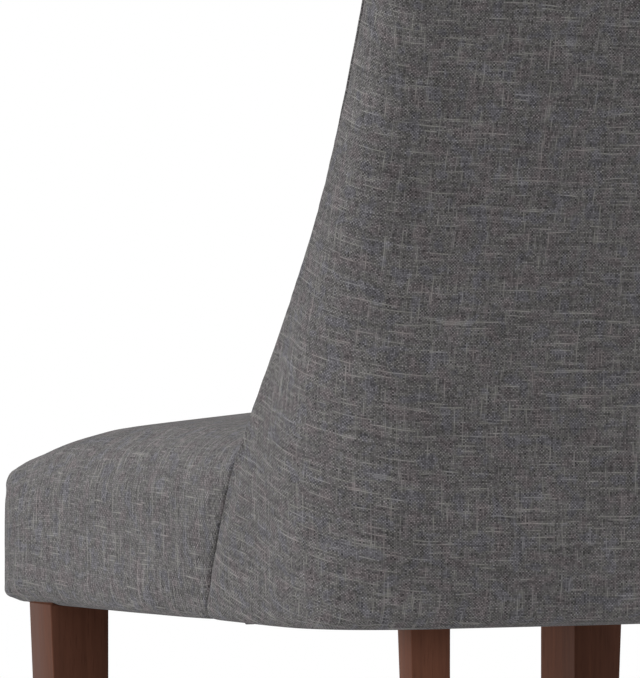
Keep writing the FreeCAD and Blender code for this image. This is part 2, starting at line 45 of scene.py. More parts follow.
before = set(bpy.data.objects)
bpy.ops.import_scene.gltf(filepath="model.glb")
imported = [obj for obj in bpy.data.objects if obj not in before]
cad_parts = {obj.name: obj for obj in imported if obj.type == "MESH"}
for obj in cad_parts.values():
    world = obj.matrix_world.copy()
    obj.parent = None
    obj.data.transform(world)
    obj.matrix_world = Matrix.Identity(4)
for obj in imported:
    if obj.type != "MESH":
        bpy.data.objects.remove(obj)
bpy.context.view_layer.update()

# Lengths are in metres and angles in degrees; counts and shares have no unit

THREADS = "threads"
WELD = 0.0002
SIDES = ((1, "left"), (-1, "right"))


def length(label, text, default):
    """Size in metres that a user can change."""
    return FloatProperty(name=label, description=text, default=default, min=0.0, unit="LENGTH", precision=4)


def share(label, text, default):
    return FloatProperty(name=label, description=text, default=default, precision=4)


def angle(label, text, degrees):
    return FloatProperty(name=label, description=text, default=math.radians(degrees), subtype="ANGLE")


def colour(label, text, default):
    return FloatVectorProperty(name=label, description=text, default=default, subtype="COLOR", min=0.0, max=1.0)


class ChairBackSizes(bpy.types.PropertyGroup):
    """Shape of the upholstered back."""
    height: length("Height", "Top of the back above the floor", 0.985)
    hem: length("Hem", "Height of the cloth's lower edge", 0.350)
    rear: length("Rear", "Distance of the top's rear line behind the middle of the chair", 0.300)
    foot_width: length("Foot width", "Width of the back at its foot", 0.4705)
    top_width: length("Top width", "Width of the back at its top", 0.3985)
    lean: share("Lean", "Rearward run for each unit of height", 0.20)
    lean_start: length("Lean start", "Height where the back begins to lean", 0.450)
    lean_blend: length("Lean blend", "Height over which the lean sets in", 0.110)
    bow: length("Bow", "Radius of the bowed rear face", 1.5)
    foot_corner: length("Foot corner", "Radius from side to rear at the foot", 0.078)
    top_corner: length("Top corner", "Radius from side to rear at the top", 0.031)
    corner_end: length("Corner end", "Height where the rear corner has its small radius", 0.690)
    thickness: length("Thickness", "Thickness of the back at its top", 0.0641)
    lumbar: length("Lumbar", "Thickness of the back above the seat", 0.088)
    top_roll: length("Top roll", "Radius of the rounded top edge", 0.024)
    reach: length("Reach", "How far the sides would sweep forward at the sweep's start", 0.1404)
    reach_start: length("Reach start", "Height where the forward sweep would be whole", 0.300)
    reach_end: length("Reach end", "Height where the forward sweep would end", 1.247)
    side_end: length("Side end", "Height where the sides have their upper shape", 0.762)
    sweep: share("Sweep", "Hollowness of the sweep's curve", 6.06)
    side_thickness: length("Side thickness", "Thickness of a side, cloth and all", 0.038)
    side_tuck: length("Side tuck", "Drawing in of a side's front edge at the foot", 0.005)
    seam_edge: length("Seam edge", "Edge radius where a side meets the seat", 0.005)
    side_edge: length("Side edge", "Edge radius of a side above the seat", 0.015)
    crown_edge: length("Crown edge", "Edge radius at the top corners", 0.027)
    inner_corner: length("Inner corner", "Radius between a side and the inside of the back", 0.052)
    hem_rise: length("Hem rise", "Rise of the rear hem at its middle", 0.002)
    hem_reach: length("Hem reach", "Distance from the middle where that rise ends", 0.215)


class ChairSeatSizes(bpy.types.PropertyGroup):
    """Shape of the domed seat."""
    front: length("Front", "Distance of the seat's front before the middle of the chair", 0.300)
    front_width: length("Front width", "Width of the seat at its front", 0.486)
    seam_width: length("Seam width", "Width of the seat where the back's sides begin", 0.454)
    seam_setback: length("Seam setback", "Depth of the seat's straight sides", 0.320)
    edge_height: length("Edge height", "Height of the seat's edge above the hem", 0.1155)
    crown_height: length("Crown height", "Height of the seat's crown above the hem", 0.1452)
    corner_drop: length("Corner drop", "How much lower the cloth is drawn at the front corners", 0.0195)
    corner_reach: length("Corner reach", "How far that drop reaches", 0.058)
    roll_width: length("Roll width", "Width of the rolled edge", 0.030)
    roll_height: length("Roll height", "Height of the rolled edge", 0.026)
    belly: length("Belly", "Fullness of the seat's sides", 0.0005)
    tuck_roll: length("Tuck roll", "Roll of the cloth where it tucks in beside the back", 0.005)
    seam_fullness: length("Seam fullness", "Swell of the seat's side where it meets the back", 0.0035)
    gap: length("Gap", "Air between two covers that meet", 0.0006)
    hem_rise: length("Hem rise", "Rise of the hem towards the front", 0.0025)


class ChairClothSizes(bpy.types.PropertyGroup):
    """The covers' cloth and how it settles."""
    thickness: length("Thickness", "Thickness of the cloth", 0.0015)
    hem_roll: length("Hem roll", "Radius of the lower edge", 0.0065)
    hem_width: length("Hem width", "Cloth turned under the chair", 0.026)
    pressure: share("Pressure", "Push of the padding against the cloth", 3.0)
    cap: length("Cap", "Most that a point of the cloth may swell", 0.003)
    frames: IntProperty(name="Frames", description="Steps of the cloth's settling", default=20, min=1)
    weft_pitch: length("Weft pitch", "Spacing of the weft threads", 0.00110)
    warp_pitch: length("Warp pitch", "Spacing of the warp threads", 0.00120)
    tint: colour("Tint", "Mean colour of the cloth", (0.1195, 0.1128, 0.1155))
    slub: colour("Slub", "Colour of the pale thick threads", (0.228, 0.219, 0.212))


class ChairLegSizes(bpy.types.PropertyGroup):
    """The four legs, their glides and the sheet under the seat."""
    arris: length("Arris", "Softening of the legs' edges", 0.0012)
    front_foot: length("Front foot", "Width of a front leg at the floor", 0.0275)
    front_width: length("Front width", "Width of a front leg under the seat", 0.0438)
    front_out: length("Front out", "How far a front leg stands out of its place in the frame", 0.0005)
    front_back: length("Front back", "How far a front leg stands behind its place in the frame", 0.0034)
    front_turn: angle("Front turn", "Outward turn of a front leg", 5.2)
    rear_spacing: length("Rear spacing", "Distance between the rear legs' tops", 0.2652)
    rear_width: length("Rear width", "Width of a rear leg under the seat", 0.0277)
    rear_depth: length("Rear depth", "Depth of a rear leg under the seat", 0.028)
    rear_foot: length("Rear foot", "Thickness of a rear leg at the floor", 0.022)
    rear_turn: angle("Rear turn", "Outward turn of a rear leg", 10.0)
    sweep: length("Sweep", "Rearward sweep of a rear leg", 0.048)
    glide_radius: length("Glide radius", "Radius of a floor glide", 0.009)
    stain: colour("Stain", "Colour of the stained wood", (0.088, 0.035, 0.021))
    sheet_inset: length("Sheet inset", "Distance from the hem to the sheet's edge", 0.027)
    sheet_thickness: length("Sheet thickness", "Thickness of the sheet under the seat", 0.0006)
    sheet_sag: length("Sheet sag", "How far the sheet hangs at its middle", 0.003)


class ChairStageLook(bpy.types.PropertyGroup):
    """Lamps, backdrop and camera."""
    ambient: share("Ambient", "Strength of the even light from all round", 0.48)
    key: share("Key", "Power of the lamp on the sitter's left", 56.0)
    overhead: share("Overhead", "Power of the lamp above", 57.0)
    fill: share("Fill", "Power of the lamp behind the chair", 48.0)
    focal: share("Focal length", "Focal length of the camera in millimetres", 318.6)


def back_sizes():
    return bpy.context.scene.chair_back


def seat_sizes():
    return bpy.context.scene.chair_seat


def cloth_sizes():
    return bpy.context.scene.chair_cloth


def leg_sizes():
    return bpy.context.scene.chair_legs


# Outline of the back at a height

FACE_BLEND = 0.006
LEAST_RADIUS = 0.002
ARC_STEPS = 16
EDGE_BLEND = (-0.03, 0.07)


def clamp(value):
    """The value, held between 0 and 1."""
    return min(max(value, 0.0), 1.0)


def ease(z, low, high):
    """Falls smoothly from 1 at the low height to 0 at the high one."""
    part = clamp((z - low) / (high - low))
    return (1 + math.cos(math.pi * part)) / 2


def shoulder_height():
    back = back_sizes()
    return back.height - back.top_roll


def rear_line(z):
    """Rearmost y of the back's middle."""
    back = back_sizes()
    foot = back.rear - back.lean * (shoulder_height() - back.lean_start - back.lean_blend / 2)
    run = z - back.lean_start
    if run <= 0:
        return foot
    if run < back.lean_blend:
        return foot + back.lean * run * run / (2 * back.lean_blend)
    return foot + back.lean * (run - back.lean_blend / 2)


def half_width(z):
    back = back_sizes()
    part = clamp((z - back.lean_start) / (back.height - back.lean_start))
    return (back.foot_width + (back.top_width - back.foot_width) * part) / 2


def side_depth(z):
    back = back_sizes()
    return back.thickness + back.reach * ease(z, back.reach_start, back.reach_end) ** back.sweep


def face_depth(z):
    """Depth of the inside face in front of the rear line: the lumbar depth, or the sides' where that is less."""
    lumbar, side = back_sizes().lumbar, side_depth(z)
    return (lumbar + side - math.hypot(lumbar - side, FACE_BLEND)) / 2


def rear_corner(z):
    back = back_sizes()
    return back.top_corner + (back.foot_corner - back.top_corner) * ease(z, back.lean_start, back.corner_end)


def edge_radius(z):
    """Rounding of a side's front edge: tight at the seat, fuller above it."""
    back = back_sizes()
    seat_top = back.hem + seat_sizes().edge_height
    above = 1 - ease(z, *(seat_top + run for run in EDGE_BLEND))
    radius = back.seam_edge + (back.side_edge - back.seam_edge) * above
    return radius + (back.crown_edge - back.side_edge) * (1 - ease(z, back.side_end, shoulder_height()))


def arc(centre, radius, start, end):
    """Points of a level arc, both ends with them, its angles in degrees."""
    points = []
    for k in range(ARC_STEPS + 1):
        a = math.radians(start + (end - start) * k / ARC_STEPS)
        points.append(Vector((centre[0] + radius * math.cos(a), centre[1] + radius * math.sin(a))))
    return points


def front_edge(z, inset):
    """Centre and radius of a side's rounded front edge."""
    back = back_sizes()
    radius = max(edge_radius(z) - inset, LEAST_RADIUS)
    wide = half_width(z) - inset
    front = rear_line(z) - side_depth(z) + inset
    side_run = side_depth(z) - rear_corner(z)
    tuck = back.side_tuck * ease(z, back.hem, back.side_end) / side_run
    wide -= tuck * side_run
    return Vector((wide - radius, front + radius)), radius


def outer_line(z, inset=0.0):
    """Left outside of the back, from the seam on its front edge to the middle of its rear."""
    back = back_sizes()
    centre, edge = front_edge(z, inset)
    wide = half_width(z) - inset
    r = max(rear_corner(z) - inset, LEAST_RADIUS)
    bow = back.bow - inset
    rear = rear_line(z) - inset
    corner_y = rear - bow + math.sqrt((bow - r) ** 2 - (wide - r) ** 2)
    swing = math.degrees(math.asin((wide - r) / (bow - r)))
    line = arc(centre, edge, -45, 0)
    line += arc((wide - r, corner_y), r, 0, 90 - swing)
    line += arc((0, rear - bow), bow, 90 - swing, 90)
    return line


def inner_line(z, inset=0.0):
    """Left inside of the back, from the same seam round the side's edge to the middle of the face."""
    back = back_sizes()
    centre, edge = front_edge(z, inset)
    front = centre.y - edge
    face = rear_line(z) - face_depth(z) + inset
    proud = max(face - front, 0.0)
    bend, hollow = back.side_edge, back.inner_corner
    turn = 90.0
    if proud < bend + hollow:
        turn = math.degrees(math.acos(1 - proud / (bend + hollow)))
    wall = half_width(z) - back.side_thickness
    bend_x = wall + bend
    hollow_x = bend_x - (bend + hollow) * math.sin(math.radians(turn))
    line = arc(centre, edge, -45, -90)
    line += arc((bend_x, front + bend), bend, -90, -90 - turn)
    line += arc((hollow_x, face - hollow), hollow, 90 - turn, 90)
    line.append(Vector((0, face)))
    return line


def heading(line, k):
    """Step between the neighbours of a point on a line."""
    return line[min(k + 1, len(line) - 1)] - line[max(k - 1, 0)]


def line_length(line):
    return sum((b - a).length for a, b in zip(line, line[1:]))


def walk(line, distances):
    """Points at these distances along a line."""
    places = []
    leg, done = 0, 0.0
    for distance in distances:
        while leg < len(line) - 2 and done + (line[leg + 1] - line[leg]).length < distance:
            done += (line[leg + 1] - line[leg]).length
            leg += 1
        step = line[leg + 1] - line[leg]
        part = 0.0 if step.length < 1e-9 else (distance - done) / step.length
        places.append(line[leg] + step * clamp(part))
    return places


NEAR_SEAM = (0.0, 0.0015, 0.0035, 0.007, 0.012)


def spread(total, count):
    """Distances that are close together at the seam and even after it."""
    start = NEAR_SEAM[-1]
    rest = count - len(NEAR_SEAM) + 1
    return list(NEAR_SEAM) + [start + (total - start) * k / rest for k in range(1, rest + 1)]


# Cloth as points, faces and the place of each corner on its threads

CREASE_DEPTH = 0.0013
CREASE_WIDTH = 0.0026
PUCKER_SWELL = 0.35
PUCKERS = 140.0


class Cloth:
    def __init__(self):
        self.points = []
        self.faces = []
        self.threads = []
        self.groups = {}

    def point(self, place):
        self.points.append(Vector(place))
        return len(self.points) - 1

    def mirrored(self, side, spot):
        """Point on the left, where side is 1, or its mirror image."""
        return self.point((side * spot.x, spot.y, spot.z))

    def mark(self, name, indexes):
        self.groups.setdefault(name, set()).update(indexes)

    def face(self, corners, threads):
        """Face whose corners may fall together; threads gives each corner's place on the cloth."""
        kept, places = [], []
        for corner, place in zip(corners, threads):
            if corner not in kept:
                kept.append(corner)
                places.append(place)
        if len(kept) > 2:
            self.faces.append(kept)
            self.threads.append(places)

    def sheet(self, grid, threads):
        """Quads over a grid of point indexes."""
        for j in range(len(grid) - 1):
            for i in range(len(grid[j]) - 1):
                cells = ((j, i), (j, i + 1), (j + 1, i + 1), (j + 1, i))
                self.face([grid[r][c] for r, c in cells], [threads[r][c] for r, c in cells])

    def piece(self, name):
        mesh = bpy.data.meshes.new(name)
        mesh.from_pydata([tuple(p) for p in self.points], [], self.faces)
        layer = mesh.uv_layers.new(name=THREADS)
        places = [place for face in self.threads for place in face]
        for loop, place in zip(layer.data, places):
            loop.uv = place
        made = bpy.data.objects.new(name, mesh)
        bpy.context.scene.collection.objects.link(made)
        for name, indexes in self.groups.items():
            made.vertex_groups.new(name=name).add(sorted(indexes), 1.0, "REPLACE")
        return made


def select_only(piece):
    if bpy.context.object and bpy.context.object.mode != "OBJECT":
        bpy.ops.object.mode_set(mode="OBJECT")
    bpy.ops.object.select_all(action="DESELECT")
    piece.select_set(True)
    bpy.context.view_layer.objects.active = piece


def apply_modifiers(piece):
    select_only(piece)
    for modifier in list(piece.modifiers):
        bpy.ops.object.modifier_apply(modifier=modifier.name)


@contextmanager
def editing(piece):
    """Edit mode with the whole piece selected."""
    select_only(piece)
    bpy.ops.object.mode_set(mode="EDIT")
    bpy.ops.mesh.select_all(action="SELECT")
    yield
    bpy.ops.object.mode_set(mode="OBJECT")


def point_outwards(piece, weld=0.0):
    """Turns the faces outwards, after joining the points that are nearer than the weld."""
    with editing(piece):
        if weld:
            bpy.ops.mesh.remove_doubles(threshold=weld)
        bpy.ops.mesh.normals_make_consistent(inside=False)


def settle(piece, pinned, pressure, cap):
    """Lets the padding press the cloth out between its pinned edges, at most by the cap."""
    cloth = cloth_sizes()
    drawn = [v.co.copy() for v in piece.data.vertices]
    modifier = piece.modifiers.new("settle", "CLOTH")
    settings = modifier.settings
    settings.quality = 5
    settings.mass = 0.3
    settings.tension_stiffness = 15
    settings.compression_stiffness = 15
    settings.shear_stiffness = 5
    settings.bending_stiffness = 0.5
    settings.use_pressure = True
    settings.uniform_pressure_force = pressure
    settings.vertex_group_mass = pinned
    settings.effector_weights.gravity = 0
    modifier.collision_settings.use_collision = False
    modifier.point_cache.frame_start = 1
    modifier.point_cache.frame_end = cloth.frames
    scene = bpy.context.scene
    for step in range(1, cloth.frames + 1):
        scene.frame_set(step)
    apply_modifiers(piece)
    scene.frame_set(1)
    for vertex, start in zip(piece.data.vertices, drawn):
        move = vertex.co - start
        if move.length > cap:
            vertex.co = start + move * (cap / move.length)


def crease(piece, group, depth, width):
    """Draws the cloth in along the seam, a little unevenly, as stitches do."""
    mesh = piece.data
    index = piece.vertex_groups[group].index
    seam = [v.index for v in mesh.vertices if any(g.group == index and g.weight > 0.5 for g in v.groups)]
    if not seam:
        return
    tree = KDTree(len(seam))
    for place, k in enumerate(seam):
        tree.insert(mesh.vertices[k].co, place)
    tree.balance()
    moves = []
    for vertex in mesh.vertices:
        near, _, distance = tree.find(vertex.co)
        if distance < width * 6:
            pucker = noise.noise(near * PUCKERS)
            pull = depth * math.exp(-(distance / width) ** 2)
            swell = PUCKER_SWELL * depth * pucker * math.exp(-(distance / (3 * width)) ** 2)
            moves.append((vertex.index, vertex.normal * (swell - pull)))
    for k, move in moves:
        mesh.vertices[k].co += move


def finish_cloth(piece, replaced):
    """Smooths the cover, gives the cloth its thickness and puts it on the chair."""
    smooth = piece.modifiers.new("smooth", "SUBSURF")
    smooth.levels = 1
    smooth.render_levels = 1
    apply_modifiers(piece)
    if "seam" in piece.vertex_groups:
        crease(piece, "seam", CREASE_DEPTH, CREASE_WIDTH)
    wall = piece.modifiers.new("cloth", "SOLIDIFY")
    wall.thickness = cloth_sizes().thickness
    wall.offset = -1.0
    apply_modifiers(piece)
    select_only(piece)
    bpy.ops.object.shade_smooth()
    piece.vertex_groups.clear()
    wear(piece, replaced, material("linen", linen_cloth))


# The back's covers

OUTER_COLUMNS = 46
INNER_COLUMNS = 36
WALL_ROWS = 66
CROWN_ROWS = 6
CAP_ROWS = 3
FLANGE_REACH = 0.022
FLANGE_COLUMNS = 7
INNER_START = 0.058
SEAM_SHARE = 0.7
CAP_DOME = 0.0012
HEM_STEPS = 4
HEM_INSETS = (0.011, 0.018)
HEM_MARGIN = 0.001
LIFT_START = 0.1
LIFT_FADE = 0.07
LIFT_POWER = 1.3
WEFT_CLIMB = 0.30
CLIMB_FADE = 0.1


def hem_lift(z, inset, place):
    """The rear hem rises a little towards its middle; the cloth turned under it stays level."""
    back, roll = back_sizes(), cloth_sizes().hem_roll
    if place.y < LIFT_START or inset > roll + HEM_MARGIN:
        return 0.0
    across = min(abs(place.x) / back.hem_reach, 1.0)
    return back.hem_rise * (1 - across ** LIFT_POWER) * ease(z, back.hem + roll, back.hem + LIFT_FADE)


def hem_turn(step):
    """Rise above the hem, inset and run of the cloth at a step of its rolled lower edge, from the wall down."""
    roll, a = cloth_sizes().hem_roll, math.radians(90 * step / HEM_STEPS)
    return roll * (1 - math.sin(a)), roll * (1 - math.cos(a)), roll * a


def back_rows():
    """(height, inset, distance along the cloth) from the turned-under edge to the top."""
    back, cloth = back_sizes(), cloth_sizes()
    roll, shoulder = cloth.hem_roll, shoulder_height()
    quarter = roll * math.pi / 2
    rows = [(back.hem, inset, quarter - inset) for inset in (cloth.hem_width, *HEM_INSETS[::-1])]
    for step in range(HEM_STEPS, -1, -1):
        rise, inset, run = hem_turn(step)
        rows.append((back.hem + rise, inset, quarter - run))
    along, before = quarter, back.hem + roll
    for k in range(1, WALL_ROWS + 1):
        z = back.hem + roll + (shoulder - back.hem - roll) * k / WALL_ROWS
        along += math.hypot(z - before, rear_line(z) - rear_line(before))
        rows.append((z, 0.0, along))
        before = z
    for step in range(1, CROWN_ROWS + 1):
        a = math.radians(90 * step / CROWN_ROWS)
        rise, inset = back.top_roll * math.sin(a), back.top_roll * (1 - math.cos(a))
        rows.append((shoulder + rise, inset, along + back.top_roll * a))
    return rows


def both_sides(count):
    """Column numbers of the left half out from its seam to the middle, and of the right half back."""
    return [(1, k) for k in range(count)] + [(-1, k) for k in range(count - 2, -1, -1)]


class BackNet:
    """Net of the back's two covers, which share their points along the seam."""

    def __init__(self):
        self.net = Cloth()
        self.rows = back_rows()
        self.outer, self.outer_threads = [], []
        self.inner, self.inner_threads, self.flange_threads = [], [], []
        for z, inset, along in self.rows:
            self.add_row(z, inset, along)
        self.wide = len(self.inner[0])

    def add_row(self, z, inset, along):
        net, back = self.net, back_sizes()
        outside, inside = outer_line(z, inset), inner_line(z, inset)
        reach_out, reach_in = line_length(outside), line_length(inside)
        outs, ins = spread(reach_out, OUTER_COLUMNS), spread(reach_in, INNER_COLUMNS)
        places_out, places_in = walk(outside, outs), walk(inside, ins)
        row, threads = [], []
        for side, k in both_sides(len(outs)):
            place = places_out[k]
            row.append(net.point((side * place.x, place.y, z + hem_lift(z, inset, place))))
            climb = weft_climb(z, place) * ease(z, shoulder_height() - CLIMB_FADE, shoulder_height())
            threads.append((side * (reach_out - outs[k]), along - climb))
        self.outer.append(row)
        self.outer_threads.append(threads)
        ends = {1: row[0], -1: row[-1]}
        climb = weft_climb(z, places_out[0])
        row, threads, flange = [], [], []
        for side, k in both_sides(len(ins)):
            place = places_in[k]
            drawn = z > back.hem + INNER_START or ins[k] < FLANGE_REACH
            if k == 0:
                row.append(ends[side])
            else:
                row.append(net.point((side * place.x, place.y, z)) if drawn else None)
            threads.append((side * (reach_in - ins[k]), along))
            flange.append((side * (reach_out + ins[k]), along - climb))
        self.inner.append(row)
        self.inner_threads.append(threads)
        self.flange_threads.append(flange)
        net.mark("seam", ends.values())
        if z <= back.hem + 1e-6:
            net.mark("pins", self.outer[-1] + [k for k in row if k is not None])

    def add_inside(self, low, high, columns, threads):
        """Faces of the inside grid between two rows, turned to face the sitter."""
        for j in range(low, high):
            for i in columns:
                cells = ((j + 1, i), (j + 1, i + 1), (j, i + 1), (j, i))
                corners = [self.inner[r][c] for r, c in cells]
                if None not in corners:
                    self.net.face(corners, [threads(r, c) for r, c in cells])

    def over_top(self, j, i):
        """Threads of the outside cover where it comes over the top to the front."""
        back, top = back_sizes(), self.rows[-1][2]
        cap = back.thickness - 2 * back.top_roll
        return (self.net.points[self.inner[j][i]].x, top + cap + (top - self.rows[j][2]))

    def add_cap(self):
        """Closes the top between the outside and the inside, a little domed."""
        net, top, back = self.net, self.rows[-1][2], back_sizes()
        outer, inner = self.outer[-1], self.inner[-1]
        side = (len(outer) // 2 - len(inner) // 2) // 2
        rear = outer[side:len(outer) - side]
        front = outer[side:0:-1] + inner + outer[-2:-side - 2:-1]
        strips = [rear]
        for step in range(1, CAP_ROWS):
            part = step / CAP_ROWS
            strip = []
            for a, b in zip(rear, front):
                place = net.points[a].lerp(net.points[b], part)
                place.z += CAP_DOME * math.sin(math.pi * part)
                strip.append(a if a == b else net.point(place))
            strips.append(strip)
        strips.append(front)
        cap = back.thickness - 2 * back.top_roll
        threads = [[(net.points[k].x, top + cap * j / CAP_ROWS) for k in strip] for j, strip in enumerate(strips)]
        net.sheet(strips, threads)


def weft_climb(z, place):
    """The weft climbs towards the front along the sides."""
    return WEFT_CLIMB * (rear_line(z) - place.y)


def back_net():
    """Both covers as one net, and the number of its faces that are the outside cover's."""
    whole = BackNet()
    net, rows, wide = whole.net, whole.rows, whole.wide
    start = next(k for k, row in enumerate(rows) if row[0] > back_sizes().hem + INNER_START)
    split = next(k for k, row in enumerate(rows) if row[0] > shoulder_height() + back_sizes().top_roll * SEAM_SHARE)
    everything = range(wide - 1)
    flange = [i for i in everything if i < FLANGE_COLUMNS or i > wide - FLANGE_COLUMNS - 2]
    net.sheet(whole.outer, whole.outer_threads)
    whole.add_inside(0, start, flange, lambda j, i: whole.flange_threads[j][i])
    whole.add_inside(split, len(rows) - 1, everything, whole.over_top)
    whole.add_cap()
    outside = len(net.faces)
    whole.add_inside(start, split, everything, lambda j, i: whole.inner_threads[j][i])
    net.mark("seam", whole.inner[split])
    net.mark("pins", net.groups["seam"])
    net.mark("pins", whole.inner[start])
    return net, outside


def part_of(net, name, faces):
    """Piece of a net made of some of its faces, with only the points that they use."""
    kept = Cloth()
    places = {}
    for k in faces:
        for corner in net.faces[k]:
            if corner not in places:
                places[corner] = kept.point(net.points[corner])
        kept.faces.append([places[corner] for corner in net.faces[k]])
        kept.threads.append(net.threads[k])
    for group, members in net.groups.items():
        kept.groups[group] = {places[k] for k in members if k in places}
    return kept.piece(name)


OUTSIDE_NODES = ("outside_back_cover", "outside_back_pad", "left_side_pad", "right_side_pad")
INSIDE_NODES = ("inside_back_cover", "inside_back_foam", "left_wing_foam", "right_wing_foam")


class ChairBackCovers(bpy.types.Operator):
    """Cloth over the outside and the inside of the back, swollen by its padding between the seams"""
    bl_idname = "chair.back_covers"
    bl_label = "Back covers"

    def execute(self, context):
        net, outside = back_net()
        cloth = cloth_sizes()
        covers = (
            ("outside_back_upholstery", range(outside), OUTSIDE_NODES, cloth.cap, 0.85),
            ("inside_back_upholstery", range(outside, len(net.faces)), INSIDE_NODES, 3 * cloth.cap, 0.8),
        )
        for name, faces, replaced, cap, fill in covers:
            piece = part_of(net, name, faces)
            point_outwards(piece)
            settle(piece, "pins", cloth.pressure, cap)
            finish_cloth(piece, replaced)
        return {"FINISHED"}


# The seat's cover

MIDDLE_COLUMNS = 22
OUTER_SEAT_COLUMNS = 6
ROLL_STEPS = 5
FRONT_ROWS = 34
REAR_ROWS = 12
SIDE_LEVELS = 10
SIDE_RISE = 0.0085
BELLY_START = 0.15
BELLY_RUN = 0.7
HEM_BLEND = (0.03, 0.18)
HEM_FADE = 0.08
FILL_FADE = 0.05
BEND_ANGLE = 135
TUCK_DEPTHS = (1.0, 2.2)


def side_line(y):
    """Half width of the seat along its straight side."""
    seat = seat_sizes()
    part = (y + seat.front) / seat.seam_setback
    return (seat.front_width + (seat.seam_width - seat.front_width) * part) / 2


def seat_top(x, y):
    """Height of the seat's upper surface."""
    seat = seat_sizes()
    across = min(2 * abs(x) / seat.front_width, 1.0)
    along = (y + seat.front - seat.seam_setback) / seat.seam_setback
    rise = (seat.crown_height - seat.edge_height) * (1 - across ** 2) * (1 - along ** 2)
    corner = math.hypot(abs(x) - seat.front_width / 2, y + seat.front)
    drop = seat.corner_drop * math.exp(-(corner / seat.corner_reach) ** 2)
    return back_sizes().hem + seat.edge_height + rise - drop


def seat_level():
    """Height of the seat's top where it meets the sides of the back."""
    return back_sizes().hem + seat_sizes().edge_height + SIDE_RISE


def seat_rear(z):
    """Rear edge of the seat's side, along the leaning front of the back's side."""
    seat = seat_sizes()
    return rear_line(z) - side_depth(z) - seat.gap - seat.tuck_roll


def coons(low, high, left, right, u, v):
    """Point of a patch between four edge curves, each a function of its own share."""
    ruled = low(u) * (1 - v) + high(u) * v + left(v) * (1 - u) + right(v) * u
    corners = low(0) * (1 - u) * (1 - v) + low(1) * u * (1 - v) + high(0) * (1 - u) * v + high(1) * u * v
    return ruled - corners


def straight(a, b):
    return lambda part: a.lerp(b, part)


def stretch(line, start, end):
    """The part of a line between two of its points, as a function of its own share."""
    begin, finish = line_length(line[:start + 1]), line_length(line[:end + 1])
    return lambda part: walk(line, [begin + (finish - begin) * part])[0]


def moved_aside(line, away):
    """A line moved sideways, towards the seat."""
    moved = []
    for k, point in enumerate(line):
        run = heading(line, k)
        if run.length > 1e-9:
            run.normalize()
            moved.append(point - Vector((run.y, -run.x)) * away)
    return moved


def tuck_line():
    """Where the seat's top meets the back, from its outer rear corner to the middle."""
    seat, level = seat_sizes(), seat_level()
    line = [p for p in inner_line(level) if p.x < front_edge(level, 0.0)[0].x]
    line = moved_aside(line, seat.gap + seat.tuck_roll)
    corner = Vector((side_line(line[0].y) - seat.roll_width, line[0].y))
    return [corner] + [p for p in line if p.x < corner.x]


def turning(line, k):
    """Direction of a line at a point, in degrees."""
    run = heading(line, k)
    return math.degrees(math.atan2(run.y, run.x))


def seat_plan():
    """Flat places of the seat's left half: rows before the back's sides, and rows between them."""
    seat = seat_sizes()
    tuck = tuck_line()
    last = len(tuck) - 1
    bend = min(range(1, last), key=lambda k: abs(turning(tuck, k) - BEND_ANGLE))
    corner = max(range(bend, last), key=lambda k: tuck[k].x + tuck[k].y)
    front = -seat.front + seat.roll_width
    middle_front, middle_bend = Vector((0, front)), Vector((0, tuck[bend].y))
    bend_front = Vector((tuck[bend].x, front))
    corner_front = Vector((side_line(-seat.front) - seat.roll_width, front))
    along_bend = straight(bend_front, tuck[bend])
    across_bend = straight(middle_bend, tuck[bend])
    before, between = [], []
    for j in range(FRONT_ROWS + 1):
        v = j / FRONT_ROWS
        row = [coons(straight(middle_front, bend_front), across_bend, straight(middle_front, middle_bend),
                     along_bend, i / MIDDLE_COLUMNS, v) for i in range(MIDDLE_COLUMNS + 1)]
        row += [coons(straight(bend_front, corner_front), stretch(tuck, bend, 0), along_bend,
                      straight(corner_front, tuck[0]), i / OUTER_SEAT_COLUMNS, v)
                for i in range(1, OUTER_SEAT_COLUMNS + 1)]
        before.append(row)
    for j in range(1, REAR_ROWS + 1):
        between.append([coons(across_bend, stretch(tuck, last, corner), straight(middle_bend, tuck[last]),
                              stretch(tuck, bend, corner), i / MIDDLE_COLUMNS, j / REAR_ROWS)
                        for i in range(MIDDLE_COLUMNS + 1)])
    return before, between


class Station:
    """Place on the edge of the seat's top from which the cloth rolls over and hangs down."""

    def __init__(self, flat, way, run=0.0):
        self.flat = flat
        self.way = way
        self.run = run
        self.core = Vector((flat.x, flat.y, seat_top(flat.x, flat.y) - seat_sizes().roll_height))

    def rolled(self, up):
        """Point of the rolled edge; up is 0 at its lower end."""
        return self.beside_back(self.core + roll_reach(*self.way, up))

    def hanging(self, z, inset):
        """Point of the wall below the roll."""
        out = roll_reach(*self.way, 0.0)
        spot = self.core + out + out.normalized() * (wall_bulge(z) - inset)
        spot.z = z
        spot = self.beside_back(spot)
        if inset <= cloth_sizes().hem_roll:
            seat = seat_sizes()
            near = ease(spot.y, *(run - seat.front for run in HEM_BLEND))
            spot.z += seat.hem_rise * near * ease(z, back_sizes().hem, back_sizes().hem + HEM_FADE)
        return spot

    def beside_back(self, spot):
        """Leans the seat's side along the back's sloping edge, and fills it out there."""
        if not self.run:
            return spot
        seat = seat_sizes()
        before = side_line(spot.y)
        spot.y += (seat_rear(spot.z) - seat_rear(seat_level())) * self.run ** 3
        share = (spot.x - self.core.x) / seat.roll_width
        fill = seat.seam_fullness * self.run ** 4 * (1 - ease(spot.z, back_sizes().hem, back_sizes().hem + FILL_FADE))
        spot.x += (side_line(spot.y) - before + fill) * min(share, 1.0)
        return spot


def roll_reach(x, y, up):
    """Point of the rolled edge from its core, in the direction given on a cube's corner."""
    seat = seat_sizes()
    way = Vector((x, y, up)).normalized()
    return Vector((way.x * seat.roll_width, way.y * seat.roll_width, way.z * seat.roll_height))


def roll_shares():
    return [math.tan(math.radians(45 * k / ROLL_STEPS)) for k in range(ROLL_STEPS + 1)]


